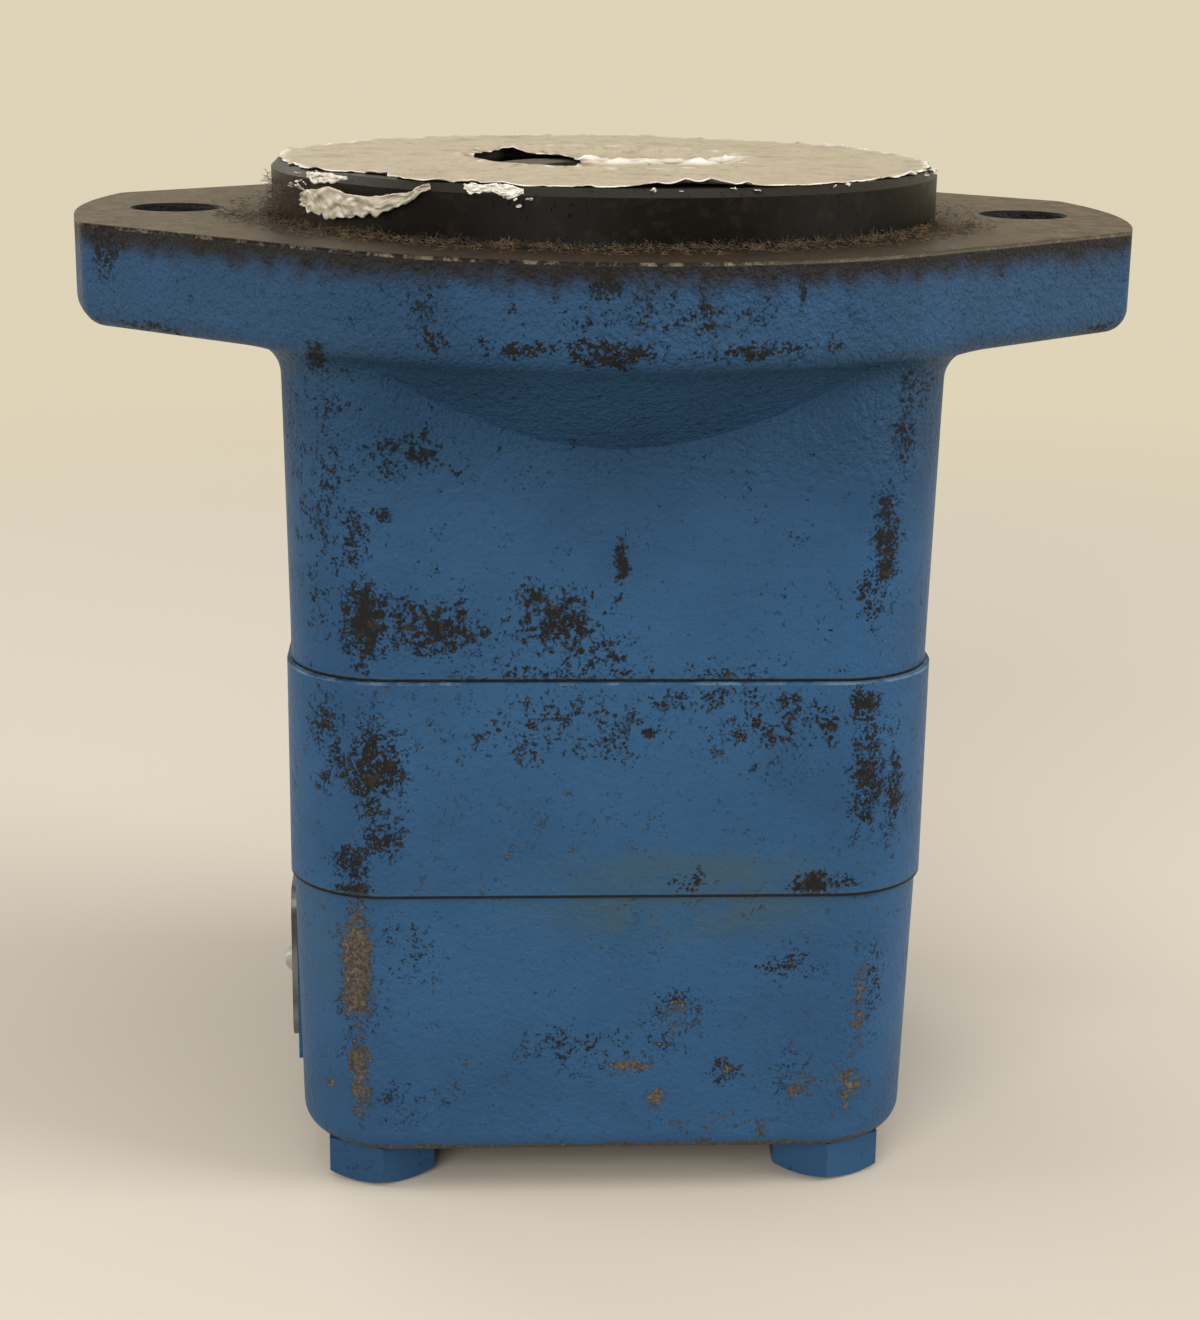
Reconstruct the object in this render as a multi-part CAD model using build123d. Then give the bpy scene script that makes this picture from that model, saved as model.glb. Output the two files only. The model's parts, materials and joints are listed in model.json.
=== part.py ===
"""Balanced hydraulic vane pump with an SAE A two-bolt flange, built as it comes apart on a bench.

Frame: millimetres, +Z up along the shaft axis. The origin is on that axis in the plane of the mounting
face, so the pilot stands above z = 0 and the body, cam ring and cover hang below it. +X points at an ear
of the flange and +Y at the side that carries both ports.
"""

import math
import os

from build123d import *

# ---- mounting interface (SAE J744 size A, two bolts) ----
pilot_diameter = 82.55
pilot_height = 6.35
pilot_chamfer = 0.9
bolt_spacing = 106.4
bolt_hole_diameter = 11.1
flange_thickness = 12.3
flange_diameter = 130.2      # over the two ears, which end in arcs about the shaft axis
flange_overhang = 4.1        # waist of the flange beyond the corners of the square neck
ear_half_angle = 17.0        # degrees, from +X to the corner where an ear's taper starts
flange_edge_radius = 3.0     # as-cast rounding of the flange's lower rim
ear_corner_radius = 3.0

# ---- castings: one square stack of body, cam ring and cover ----
body_length = 50.4           # mounting face to cam ring
ring_width = 26.6
cover_length = 34.2
bolt_edge = 10.7             # from a cover bolt's axis to the cam ring's side
body_step = 0.5              # the body stands back from the cam ring
cover_step = 0.3             # and so does the cover
corner_radius = 12.0
draft_angle = 1.0            # degrees of casting draft on the body
cover_draft_angle = 1.3
neck_fillet = 4.0            # where the body runs into the underside of the flange
rim_fillet = 3.0             # lower rim of the cover
gusset_radius = 49.2         # 45 degree skirt under the flange, front and back
gusset_half_width = 30.0
gusset_depth = 11.2

# ---- cover bolts: M8 hex head screws ----
bolt_wall = 3.46             # metal between a cover bolt's hole and the seals inside
bolt_diameter = 8.0
bolt_hole_clearance = 0.24   # radial, in the cover and the ring
bolt_thread_clearance = 0.03 # radial, in the body
bolt_thread_depth = 16.0
bolt_end_gap = 3.0
bolt_head_flats = 13.0
bolt_head_height = 5.3
bolt_head_end = 12.0         # diameter of the flat end inside the chamfer
bolt_head_chamfer = 30.0     # degrees
bolt_head_turns = (3.0, -3.0, 9.0, 21.0)   # degrees, as each bolt happened to stop

# ---- stepped bore of the body, from the pilot down ----
shaft_seal_diameter = 37.0
shaft_seal_width = 7.0
shaft_seal_recess = 2.85     # below the pilot's face
relief_depth = 2.5
bearing_outer_diameter = 47.0
bearing_bore = 25.0
bearing_width = 12.0
circlip_groove_depth = 1.2
circlip_width = 3.7
circlip_thickness = 1.75
circlip_play = 0.05
circlip_gap = 9.0            # width of the opening between a circlip's ends
shaft_circlip_width = 2.4
shaft_circlip_groove_depth = 0.7
shaft_circlip_thickness = 1.2
circlip_land = 1.65          # body left below the bearing's circlip groove
plate_ledge = 3.5            # body left behind the port plate's rim
plate_lap = 1.5              # plates reach past the cam track
port_plate_thickness = 8.0
plate_fit = 0.03             # radial, plates in the body and in the cover
face_seal_width = 2.4        # radial width of the seals around the plates
face_seal_height = 2.2

# ---- ports ----
inlet_thread_radius = 12.45  # 1-1/16-12, at the crest of the thread
inlet_thread_depth = 19.0
boss_gap = 0.1               # inlet boss above the cam ring joint
inlet_boss_reach = 13.5      # beyond the body's side
inlet_boss_wall = 5.35
inlet_passage_radius = 9.5
outlet_thread_radius = 8.75  # 3/4-16, at the crest of the thread
outlet_thread_depth = 14.3
outlet_boss_reach = 4.2      # beyond the cover's side
outlet_boss_wall = 4.35
outlet_passage_radius = 6.5
port_seat_depth = 2.4        # cone for the fitting's O-ring
port_seat_growth = 1.5
passage_overrun = 4.0        # a passage runs on into its round chamber

# ---- cam ring, rotor and vanes ----
cam_minor_radius = 25.0
cam_major_radius = 28.0
minor_dwell = 16.0           # degrees either side of +X and -X
major_dwell = 14.0           # degrees either side of +Y and -Y
ramp_steps = 8
rotor_gap = 0.1              # rotor inside the cam track's small radius
side_clearance = 0.02        # each side of the rotor
vane_count = 12
vane_thickness = 2.0
vane_height = 9.45
vane_setback = 0.8           # tip below the rotor's rim when the vane is home
vane_side_clearance = 0.015
vane_end_clearance = 0.05
vane_tip_chamfer = 0.5
slot_root_radius = 1.5
vane_root_gap = 0.05
rotor_hub_width = 2.6
rotor_hub_relief = 0.6
kidney_inset = 4.1           # middle of a kidney inside the plates' rim
kidney_width = 3.4
kidney_half_angle = 21.0
suction_angle = 45.0         # middle of a suction kidney, from +X
pressure_angle = 135.0

# ---- shaft ----
shaft_top = 5.5              # above the mounting face
collar_step = 2.0            # seal collar above the bearing seat
drive_bore_diameter = 15.875
drive_bore_depth = 27.5
keyway_width = 4.76
keyway_depth = 2.13
journal_step = 1.5           # journal below the bearing seat
journal_clearance = 0.03
bushing_wall = 2.5
spline_teeth = 16
spline_step = 0.6            # spline below the journal
spline_height = 1.0
spline_clearance = 0.06
shaft_end_gap = 0.1
shaft_seat_length = 3.2      # bearing seat left below the shaft circlip
shaft_end_chamfer = 0.5
seat_clearance = 0.01        # radial, between pieces pressed or seated together

# ---- bearing ----
roller_count = 10
roller_radius = 2.9
roller_length = 7.0
roller_clearance = 0.02      # radial and endwise
race_rib = 0.95
cage_half_width = 0.8
cage_height = 10.0
cage_pocket_clearance = 0.1

# ---- shaft seal ----
seal_case_wall = 1.2
seal_web_gap = 1.5           # inner edge of the case's web outside the collar
seal_lip_clearance = 0.04
seal_lip_width = 1.2
seal_lip_toe = 0.5           # lip's lower end above the case's open end
seal_lip_edge = 1.0          # and its sealing edge
seal_lip_flare = 0.5         # it opens inside, towards the web
garter_section = 0.9         # square section of the garter spring
garter_play = 0.05

# ---- pressure plate and its spring ----
pressure_plate_thickness = 8.0
pressure_plate_float = 1.0
cover_chamber_radius = 20.0
cover_chamber_floor = 8.8    # metal left under the chamber
plate_seal_section = 1.8
plate_seal_drop = 3.9        # from the plate's face to its seal groove
spring_radius = 9.0
spring_wire = 2.0
spring_turns = 2.5
spigot_height = 2.5

# ---- locating pins ----
pin_radius = 1.4
pin_wall = 0.9               # metal between a pin's hole and the cam track
pin_body_depth = 2.0
pin_plate_depth = 2.5
pin_clearance = 0.04

# ---- nameplate ----
nameplate_length = 40.0
nameplate_height = 20.6
nameplate_thickness = 0.8
nameplate_corner = 3.0
nameplate_low = 16.3         # its middle, below the cam ring joint
nameplate_pad_inset = 1.6
nameplate_pad_proud = 0.55
drive_screw_offset = 17.0
drive_screw_radius = 1.1
drive_screw_head_radius = 2.0
drive_screw_head_height = 0.9
drive_screw_depth = 5.0

# ---- masking foil left on the pilot ----
foil_thickness = 0.3
foil_edge = 1.6              # pilot left bare outside the foil, chamfer included
foil_hole_length = 12.5      # half axes of the torn opening
foil_hole_width = 9.5
foil_hole_shift = -4.0

# ---- radii and widths worked out from the sizes above ----
pilot_radius = pilot_diameter / 2
bearing_seat_radius = bearing_bore / 2
collar_radius = bearing_seat_radius + collar_step
journal_radius = bearing_seat_radius - journal_step
bushing_radius = journal_radius + journal_clearance + bushing_wall
spline_tip_radius = journal_radius - spline_step
spline_root_radius = spline_tip_radius - spline_height
keyway_reach = drive_bore_diameter / 2 + keyway_depth
seal_web_radius = collar_radius + seal_web_gap
bearing_pocket_radius = bearing_outer_diameter / 2
circlip_outer_radius = bearing_pocket_radius + circlip_groove_depth
shaft_circlip_groove_radius = bearing_seat_radius - shaft_circlip_groove_depth
roller_pitch_radius = (bearing_seat_radius + bearing_pocket_radius) / 2
inner_track_radius = roller_pitch_radius - roller_radius - roller_clearance
outer_track_radius = roller_pitch_radius + roller_radius + roller_clearance
rotor_radius = cam_minor_radius - rotor_gap
rotor_hub_radius = spline_tip_radius + rotor_hub_width
plate_radius = cam_major_radius + plate_lap
chamber_radius = plate_radius - plate_ledge
kidney_radius = plate_radius - kidney_inset
pin_circle_radius = cam_minor_radius + pin_wall + pin_radius
face_seal_radius = plate_radius + face_seal_width
bolt_hole_radius = bolt_diameter / 2 + bolt_hole_clearance
bolt_offset = (face_seal_radius + bolt_wall + bolt_hole_radius) / math.sqrt(2)
ring_half_width = bolt_offset + bolt_edge
body_half_width = ring_half_width - body_step
cover_half_width = ring_half_width - cover_step
inlet_boss_radius = inlet_thread_radius + port_seat_growth + inlet_boss_wall
inlet_face = body_half_width + inlet_boss_reach
outlet_boss_radius = outlet_thread_radius + port_seat_growth + outlet_boss_wall
outlet_face = cover_half_width + outlet_boss_reach

# ---- levels, all below the mounting face but for the pilot's ----
ring_top = -body_length
ring_bottom = ring_top - ring_width
cover_bottom = ring_bottom - cover_length
shaft_seal_top = pilot_height - shaft_seal_recess
shaft_seal_bottom = shaft_seal_top - shaft_seal_width
bearing_top = shaft_seal_bottom - relief_depth
bearing_bottom = bearing_top - bearing_width
bearing_middle = (bearing_top + bearing_bottom) / 2
port_plate_top = ring_top + port_plate_thickness
plate_back = ring_bottom - pressure_plate_thickness
spring_seat = plate_back - pressure_plate_float
cover_chamber_bottom = cover_bottom + cover_chamber_floor
shaft_bottom = ring_bottom + shaft_end_gap
rotor_top = ring_top - side_clearance
rotor_bottom = ring_bottom + side_clearance
inlet_level = ring_top + inlet_boss_radius + boss_gap
outlet_level = (spring_seat + cover_chamber_bottom) / 2
nameplate_level = ring_bottom - nameplate_low

# ---- places that need more than one of those ----
neck_half_width = body_half_width + (body_length - flange_thickness) * math.tan(math.radians(draft_angle))
flange_waist_radius = (neck_half_width - corner_radius) * math.sqrt(2) + corner_radius + flange_overhang
vane_home = rotor_radius - vane_setback   # tip radius of a vane that is home
slot_floor = vane_home - vane_height - vane_root_gap
slot_half_width = vane_thickness / 2 + vane_side_clearance
slot_root_centre = slot_floor + math.sqrt(slot_root_radius ** 2 - slot_half_width ** 2)
nameplate_face = (cover_half_width - nameplate_low * math.tan(math.radians(cover_draft_angle))
                  + nameplate_pad_proud)


# ---------------------------------------------------------------- helpers
def disc(radius, low, high):
    """A cylinder about the shaft axis between two levels."""
    return Pos(0, 0, low) * Cylinder(radius, high - low, align=(Align.CENTER, Align.CENTER, Align.MIN))


def tube(outer_radius, inner_radius, low, high):
    """A ring about the shaft axis between two levels."""
    return disc(outer_radius, low, high) - disc(inner_radius, low, high)


def turned(points):
    """A ring about the shaft axis, from a closed outline of (radius, level) points."""
    outline = make_face(Polyline(*[(radius, 0, level) for radius, level in points], close=True))
    return revolve(outline, Axis.Z)


def square_block(half_width, low, high, flare=0.0):
    """A square column with rounded corners, from its low level, flaring upwards by some degrees."""
    outline = RectangleRounded(2 * half_width, 2 * half_width, corner_radius)
    return extrude(Pos(0, 0, low) * outline, amount=high - low, taper=-flare)


def bolt_places():
    """The four corners of the square that the cover bolts stand on."""
    return [Pos(x, y, 0) for y in (-bolt_offset, bolt_offset) for x in (-bolt_offset, bolt_offset)]


def bolt_bores(radius, low, high):
    """Four round bars between two levels, where the cover bolts stand."""
    return Part() + [place * disc(radius, low, high) for place in bolt_places()]


def kidneys(first_angle, low, high):
    """Two opposite kidney ports, cut as arc slots between two levels."""
    slots = Sketch()
    for angle in (first_angle, first_angle + 180):
        middle = CenterArc((0, 0), kidney_radius, angle - kidney_half_angle, 2 * kidney_half_angle)
        slots += SlotArc(middle, kidney_width)
    return extrude(Pos(0, 0, low) * slots, amount=high - low)


def pins(radius, low, high):
    """Two round bars between two levels, where the locating pins stand."""
    return Part() + [Pos(x, 0, 0) * disc(radius, low, high) for x in (-pin_circle_radius, pin_circle_radius)]


def port_tool(thread_radius, thread_depth, passage_radius, face, inner_end, level):
    """Everything that a drill, a tap and a seat cutter take out of a port that opens towards +Y."""
    downward = (Align.CENTER, Align.CENTER, Align.MAX)
    seat = Cone(thread_radius, thread_radius + port_seat_growth, port_seat_depth, align=downward)
    thread = Cylinder(thread_radius, thread_depth, align=downward)
    passage = Cylinder(passage_radius, face - inner_end, align=downward)
    return Pos(0, face, level) * Rot(-90, 0, 0) * (seat + thread + passage)


def boss(radius, start, face, level):
    """A round boss towards +Y that carries a port."""
    bar = Cylinder(radius, face - start, align=(Align.CENTER, Align.CENTER, Align.MAX))
    return Pos(0, face, level) * Rot(-90, 0, 0) * bar


# ---------------------------------------------------------------- body casting
def flange_outline():
    """Ears that end in arcs about the axis, tapering to a round waist front and back."""
    ear_radius = flange_diameter / 2
    corner = math.radians(ear_half_angle)
    waist = corner + math.acos(flange_waist_radius / ear_radius)
    corner_x, corner_y = ear_radius * math.cos(corner), ear_radius * math.sin(corner)
    waist_x, waist_y = flange_waist_radius * math.cos(waist), flange_waist_radius * math.sin(waist)
    edges = [
        ThreePointArc((corner_x, -corner_y), (ear_radius, 0), (corner_x, corner_y)),
        Line((corner_x, corner_y), (waist_x, waist_y)),
        ThreePointArc((waist_x, waist_y), (0, flange_waist_radius), (-waist_x, waist_y)),
        Line((-waist_x, waist_y), (-corner_x, corner_y)),
        ThreePointArc((-corner_x, corner_y), (-ear_radius, 0), (-corner_x, -corner_y)),
        Line((-corner_x, -corner_y), (-waist_x, -waist_y)),
        ThreePointArc((-waist_x, -waist_y), (0, -flange_waist_radius), (waist_x, -waist_y)),
        Line((waist_x, -waist_y), (corner_x, -corner_y)),
    ]
    outline = make_face(Curve() + edges)
    ears = [vertex for vertex in outline.vertices() if abs(vertex.X) > corner_x - ear_corner_radius]
    return fillet(ears, ear_corner_radius)


def underside_edges(casting, on_rim):
    """Edges in the plane of the flange's underside: its own rim, or the foot of the square neck."""
    neck_reach = flange_waist_radius - flange_overhang / 2
    level = casting.edges().filter_by_position(Axis.Z, -flange_thickness - 0.001, -flange_thickness + 0.001)
    found = []
    for edge in level:
        middle = edge.position_at(0.5)
        outside = max(abs(middle.X), abs(middle.Y)) > neck_half_width + neck_fillet
        outside = outside or math.hypot(middle.X, middle.Y) > neck_reach
        if outside == on_rim:
            found.append(edge)
    return found


def gussets():
    """The 45 degree skirt that carries the waist of the flange, front and back."""
    skirt = Pos(0, 0, -flange_thickness - gusset_depth) * Cone(
        gusset_radius - gusset_depth, gusset_radius, gusset_depth,
        align=(Align.CENTER, Align.CENTER, Align.MIN))
    root = disc(gusset_radius, -flange_thickness, -flange_thickness / 2)
    return (skirt + root) & Box(2 * gusset_half_width, 2 * flange_waist_radius, 2 * body_length)


def body_bores():
    """The stepped bore for the seal, bearing, shaft and port plate, and the threads for the cover bolts."""
    circlip_bottom = bearing_bottom - circlip_thickness - circlip_play
    chamber_top = circlip_bottom - circlip_land
    seat = seat_clearance
    cut = disc(shaft_seal_diameter / 2 + seat, shaft_seal_bottom, pilot_height)
    cut += disc(seal_web_radius, bearing_top, shaft_seal_bottom)
    cut += disc(bearing_pocket_radius + seat, port_plate_top, bearing_top)
    cut += disc(circlip_outer_radius + circlip_play, circlip_bottom, bearing_bottom)
    cut += disc(chamber_radius, port_plate_top, chamber_top)
    cut += disc(plate_radius + plate_fit, ring_top, port_plate_top)
    cut += disc(face_seal_radius, ring_top, ring_top + face_seal_height)
    cut += pins(pin_radius + pin_clearance, port_plate_top, port_plate_top + pin_body_depth)
    depth = bolt_thread_depth + bolt_end_gap
    return cut + bolt_bores(bolt_diameter / 2 + bolt_thread_clearance, ring_top, ring_top + depth)


def make_body():
    """Cast iron body: pilot, two-bolt flange, square neck and the inlet boss."""
    casting = extrude(flange_outline(), amount=-flange_thickness)
    casting += square_block(body_half_width, ring_top, -flange_thickness / 2, draft_angle)
    casting = fillet(underside_edges(casting, on_rim=False), neck_fillet)
    casting = fillet(underside_edges(casting, on_rim=True), flange_edge_radius)
    casting += gussets()
    casting += boss(inlet_boss_radius, chamber_radius, inlet_face, inlet_level)
    pilot = disc(pilot_radius, -flange_thickness / 2, pilot_height)
    casting += chamfer(pilot.edges().group_by(Axis.Z)[-1], pilot_chamfer)
    casting -= body_bores()
    casting -= port_tool(inlet_thread_radius, inlet_thread_depth, inlet_passage_radius, inlet_face,
                         chamber_radius - passage_overrun, inlet_level)
    hole = disc(bolt_hole_diameter / 2, -flange_thickness - neck_fillet, pilot_height)
    return casting - [Pos(x, 0, 0) * hole for x in (-bolt_spacing / 2, bolt_spacing / 2)]


# ---------------------------------------------------------------- cam ring and cover
def cam_outline():
    """Two quiet arcs on +-X, two wide ones on +-Y, and eased ramps between them."""
    def point(radius, degrees):
        return (radius * math.cos(math.radians(degrees)), radius * math.sin(math.radians(degrees)))

    def ramp(start, end, first_radius, last_radius):
        points = []
        for step in range(ramp_steps + 1):
            eased = (1 - math.cos(math.pi * step / ramp_steps)) / 2
            radius = first_radius + (last_radius - first_radius) * eased
            points.append(point(radius, start + (end - start) * step / ramp_steps))
        return Spline(*points, tangents=[point(1, start + 90), point(1, end + 90)])

    edges = []
    for turn in (0, 180):
        edges.append(CenterArc((0, 0), cam_minor_radius, turn - minor_dwell, 2 * minor_dwell))
        edges.append(ramp(turn + minor_dwell, turn + 90 - major_dwell, cam_minor_radius, cam_major_radius))
        edges.append(CenterArc((0, 0), cam_major_radius, turn + 90 - major_dwell, 2 * major_dwell))
        edges.append(ramp(turn + 90 + major_dwell, turn + 180 - minor_dwell,
                          cam_major_radius, cam_minor_radius))
    return make_face(Curve() + edges)


def make_cam_ring():
    """Hardened ring with the two-lobed track inside and a machined square outside."""
    ring = square_block(ring_half_width, ring_bottom, ring_top)
    ring -= extrude(Pos(0, 0, ring_bottom) * cam_outline(), amount=ring_width)
    ring -= pins(pin_radius + pin_clearance, ring_bottom, ring_top)
    return ring - bolt_bores(bolt_hole_radius, ring_bottom, ring_top)


def make_cover():
    """Cast iron cover with the pressure chamber, the outlet boss and a pad for the nameplate."""
    low_half_width = cover_half_width - cover_length * math.tan(math.radians(cover_draft_angle))
    cover = square_block(low_half_width, cover_bottom, ring_bottom, cover_draft_angle)
    cover = fillet(cover.edges().group_by(Axis.Z)[0], rim_fillet)
    cover += boss(outlet_boss_radius, plate_radius, outlet_face, outlet_level)
    pad_length = nameplate_length + 2 * nameplate_pad_inset
    pad_height = nameplate_height + 2 * nameplate_pad_inset
    pad = Box(nameplate_face, pad_length, pad_height, align=(Align.MAX, Align.CENTER, Align.CENTER))
    cover += Pos(0, 0, nameplate_level) * pad
    cover -= disc(plate_radius + plate_fit, spring_seat, ring_bottom)
    cover -= disc(face_seal_radius, ring_bottom - face_seal_height, ring_bottom)
    cover -= disc(cover_chamber_radius, cover_chamber_bottom, spring_seat)
    cover -= bolt_bores(bolt_hole_radius, cover_bottom, ring_bottom)
    cover -= drive_screw_bars(drive_screw_radius + seat_clearance, drive_screw_depth)
    return cover - port_tool(outlet_thread_radius, outlet_thread_depth, outlet_passage_radius,
                             outlet_face, cover_chamber_radius - passage_overrun, outlet_level)


# ---------------------------------------------------------------- fasteners and trim
def make_cover_bolts():
    """Four cap screws, heads down, through the cover and the ring into the body."""
    bolts = []
    chamfer_rise = (bolt_head_flats - bolt_head_end / 2) * math.tan(math.radians(bolt_head_chamfer))
    for place, turn in zip(bolt_places(), bolt_head_turns):
        shank = disc(bolt_diameter / 2, cover_bottom, ring_top + bolt_thread_depth)
        hexagon = RegularPolygon(bolt_head_flats / 2, 6, major_radius=False, rotation=turn + 30)
        head = extrude(Pos(0, 0, cover_bottom) * hexagon, amount=-bolt_head_height)
        head_end = cover_bottom - bolt_head_height
        cap = turned([(0, cover_bottom), (bolt_head_flats, cover_bottom),
                      (bolt_head_flats, head_end + chamfer_rise), (bolt_head_end / 2, head_end),
                      (0, head_end)])
        bolts.append(place * (shank + (head & cap)))
    return Compound(children=bolts)


def drive_screw_bars(radius, depth):
    """Two bars into the cover's -X side, where the nameplate's drive screws stand."""
    bar = Cylinder(radius, depth, align=(Align.CENTER, Align.CENTER, Align.MAX))
    turned_bar = Rot(0, -90, 0) * bar
    places = [Pos(-nameplate_face, y, nameplate_level) for y in (-drive_screw_offset, drive_screw_offset)]
    return Part() + [place * turned_bar for place in places]


def make_nameplate():
    """Bare sheet-metal plate on the cover's pad."""
    outline = RectangleRounded(nameplate_height, nameplate_length, nameplate_corner)
    plate = Pos(-nameplate_face, 0, nameplate_level) * Rot(0, -90, 0) * extrude(
        outline, amount=nameplate_thickness)
    hole = Cylinder(drive_screw_radius + seat_clearance, 4 * nameplate_thickness)
    for y in (-drive_screw_offset, drive_screw_offset):
        plate -= Pos(-nameplate_face, y, nameplate_level) * Rot(0, -90, 0) * hole
    return plate


def make_nameplate_screws():
    """Two round-headed drive screws."""
    screws = []
    for y in (-drive_screw_offset, drive_screw_offset):
        shank = Cylinder(drive_screw_radius, drive_screw_depth + nameplate_thickness,
                         align=(Align.CENTER, Align.CENTER, Align.MAX))
        head = Cone(drive_screw_head_radius, drive_screw_head_radius / 2, drive_screw_head_height,
                    align=(Align.CENTER, Align.CENTER, Align.MIN))
        place = Pos(-nameplate_face - nameplate_thickness, y, nameplate_level) * Rot(0, -90, 0)
        screws.append(place * (shank + head))
    return Compound(children=screws)


def make_foil():
    """Thin masking foil on the pilot's face, torn open over the shaft."""
    sheet = disc(pilot_radius - foil_edge, pilot_height, pilot_height + foil_thickness)
    torn = Pos(foil_hole_shift, 0, pilot_height) * Ellipse(foil_hole_length, foil_hole_width)
    return sheet - extrude(torn, amount=foil_thickness)


# ---------------------------------------------------------------- shaft, seal and bearing
def make_shaft():
    """Hollow keyed shaft: seal collar, bearing seat, journal and a splined tail."""
    seat_radius = bearing_seat_radius - seat_clearance
    clip_top = bearing_bottom
    clip_bottom = clip_top - shaft_circlip_thickness - circlip_play
    seat_bottom = clip_bottom - shaft_seat_length
    shaft = turned([
        (0, shaft_top), (collar_radius - shaft_end_chamfer, shaft_top),
        (collar_radius, shaft_top - shaft_end_chamfer), (collar_radius, bearing_top),
        (seat_radius, bearing_top), (seat_radius, clip_top),
        (shaft_circlip_groove_radius, clip_top), (shaft_circlip_groove_radius, clip_bottom),
        (seat_radius, clip_bottom), (seat_radius, seat_bottom),
        (journal_radius, seat_bottom - seat_radius + journal_radius), (journal_radius, ring_top),
        (spline_root_radius, ring_top), (spline_root_radius, shaft_bottom), (0, shaft_bottom)])
    shaft += spline_teeth_solid(spline_tip_radius, shaft_bottom, ring_top, 0)
    shaft -= disc(drive_bore_diameter / 2, shaft_top - drive_bore_depth, shaft_top)
    keyway = Box(keyway_reach, keyway_width, drive_bore_depth,
                 align=(Align.MIN, Align.CENTER, Align.MAX))
    return shaft - Pos(0, 0, shaft_top) * Rot(0, 0, 90) * keyway


def spline_teeth_solid(tip_radius, low, high, growth):
    """Straight-sided teeth of a spline; growth widens each flank for a hole that takes them."""
    width = math.pi * spline_root_radius / spline_teeth + 2 * growth
    tooth = Box(tip_radius, width, high - low, align=(Align.MIN, Align.CENTER, Align.MIN))
    turns = [Rot(0, 0, 360 / spline_teeth * n) for n in range(spline_teeth)]
    return Pos(0, 0, low) * (Part() + [turn * tooth for turn in turns]) & disc(tip_radius, low, high)


def make_seal_case():
    """Pressed steel case of the shaft seal, an L in section."""
    outer = shaft_seal_diameter / 2
    return turned([(outer, shaft_seal_bottom), (outer, shaft_seal_top), (seal_web_radius, shaft_seal_top),
                   (seal_web_radius, shaft_seal_top - seal_case_wall),
                   (outer - seal_case_wall, shaft_seal_top - seal_case_wall),
                   (outer - seal_case_wall, shaft_seal_bottom)])


def make_seal_lip():
    """Rubber lip that hangs from the case's web and runs on the shaft's collar."""
    inner = collar_radius + seal_lip_clearance
    web_low = shaft_seal_top - seal_case_wall
    toe = shaft_seal_bottom + seal_lip_toe
    garter_top = toe + garter_section + 2 * garter_play
    return turned([(inner + seal_lip_width, shaft_seal_top), (seal_web_radius, shaft_seal_top),
                   (seal_web_radius, garter_top), (inner + seal_lip_width, garter_top),
                   (inner + seal_lip_width, toe), (inner, shaft_seal_bottom + seal_lip_edge),
                   (inner + seal_lip_flare, web_low)])


def make_seal_spring():
    """Garter spring round the lip, drawn as a ring of square section."""
    inner = collar_radius + seal_lip_clearance + seal_lip_width
    low = shaft_seal_bottom + seal_lip_toe + garter_play
    return tube(inner + garter_section, inner, low, low + garter_section)


def make_race(wall_radius, track_radius, rib_radius):
    """A bearing ring with a rib at each side of the rollers' track."""
    half = roller_length / 2 + roller_clearance
    return turned([(wall_radius, bearing_bottom), (wall_radius, bearing_top), (rib_radius, bearing_top),
                   (rib_radius, bearing_middle + half), (track_radius, bearing_middle + half),
                   (track_radius, bearing_middle - half), (rib_radius, bearing_middle - half),
                   (rib_radius, bearing_bottom)])


def roller_places():
    """Where the rollers stand round the shaft."""
    return [Rot(0, 0, 360 / roller_count * n) * Pos(roller_pitch_radius, 0, bearing_middle)
            for n in range(roller_count)]


def make_rollers():
    """The bearing's rollers."""
    return Compound(children=[place * Cylinder(roller_radius, roller_length) for place in roller_places()])


def make_cage():
    """A ring with a window for each roller."""
    cage = tube(roller_pitch_radius + cage_half_width, roller_pitch_radius - cage_half_width,
                bearing_middle - cage_height / 2, bearing_middle + cage_height / 2)
    window = Cylinder(roller_radius + cage_pocket_clearance, roller_length + 2 * cage_pocket_clearance)
    return cage - [place * window for place in roller_places()]


def make_circlip(outer_radius, inner_radius, top, thickness):
    """A flat snap ring with an opening towards -Y."""
    ring = tube(outer_radius, inner_radius, top - thickness, top)
    opening = Box(circlip_gap, outer_radius, thickness, align=(Align.CENTER, Align.MAX, Align.MAX))
    return ring - Pos(0, 0, top) * opening


# ---------------------------------------------------------------- cartridge
def make_port_plate():
    """Fixed side plate above the rotor, with inlet kidneys and a bore for the shaft's bushing."""
    plate = disc(plate_radius, ring_top, port_plate_top)
    plate -= disc(bushing_radius + seat_clearance, ring_top, port_plate_top)
    plate -= kidneys(suction_angle, ring_top, port_plate_top)
    return plate - pins(pin_radius + pin_clearance, ring_top, port_plate_top)


def make_rotor():
    """Slotted rotor with a splined hole and a drilled root to each slot."""
    rotor = disc(rotor_radius, rotor_bottom, rotor_top)
    hub = disc(rotor_hub_radius, rotor_top - rotor_hub_relief, rotor_top)
    hub += disc(rotor_hub_radius, rotor_bottom, rotor_bottom + rotor_hub_relief)
    rotor -= hub
    length = rotor_top - rotor_bottom
    slot = Pos(slot_root_centre, 0, rotor_bottom) * Box(
        rotor_radius, 2 * slot_half_width, length, align=(Align.MIN, Align.CENTER, Align.MIN))
    slot += Pos(slot_root_centre, 0, 0) * disc(slot_root_radius, rotor_bottom, rotor_top)
    rotor -= [Rot(0, 0, vane_angle(n)) * slot for n in range(vane_count)]
    rotor -= disc(spline_root_radius + spline_clearance, rotor_bottom, rotor_top)
    return rotor - spline_teeth_solid(spline_tip_radius + spline_clearance, rotor_bottom, rotor_top,
                                      spline_clearance)


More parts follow.
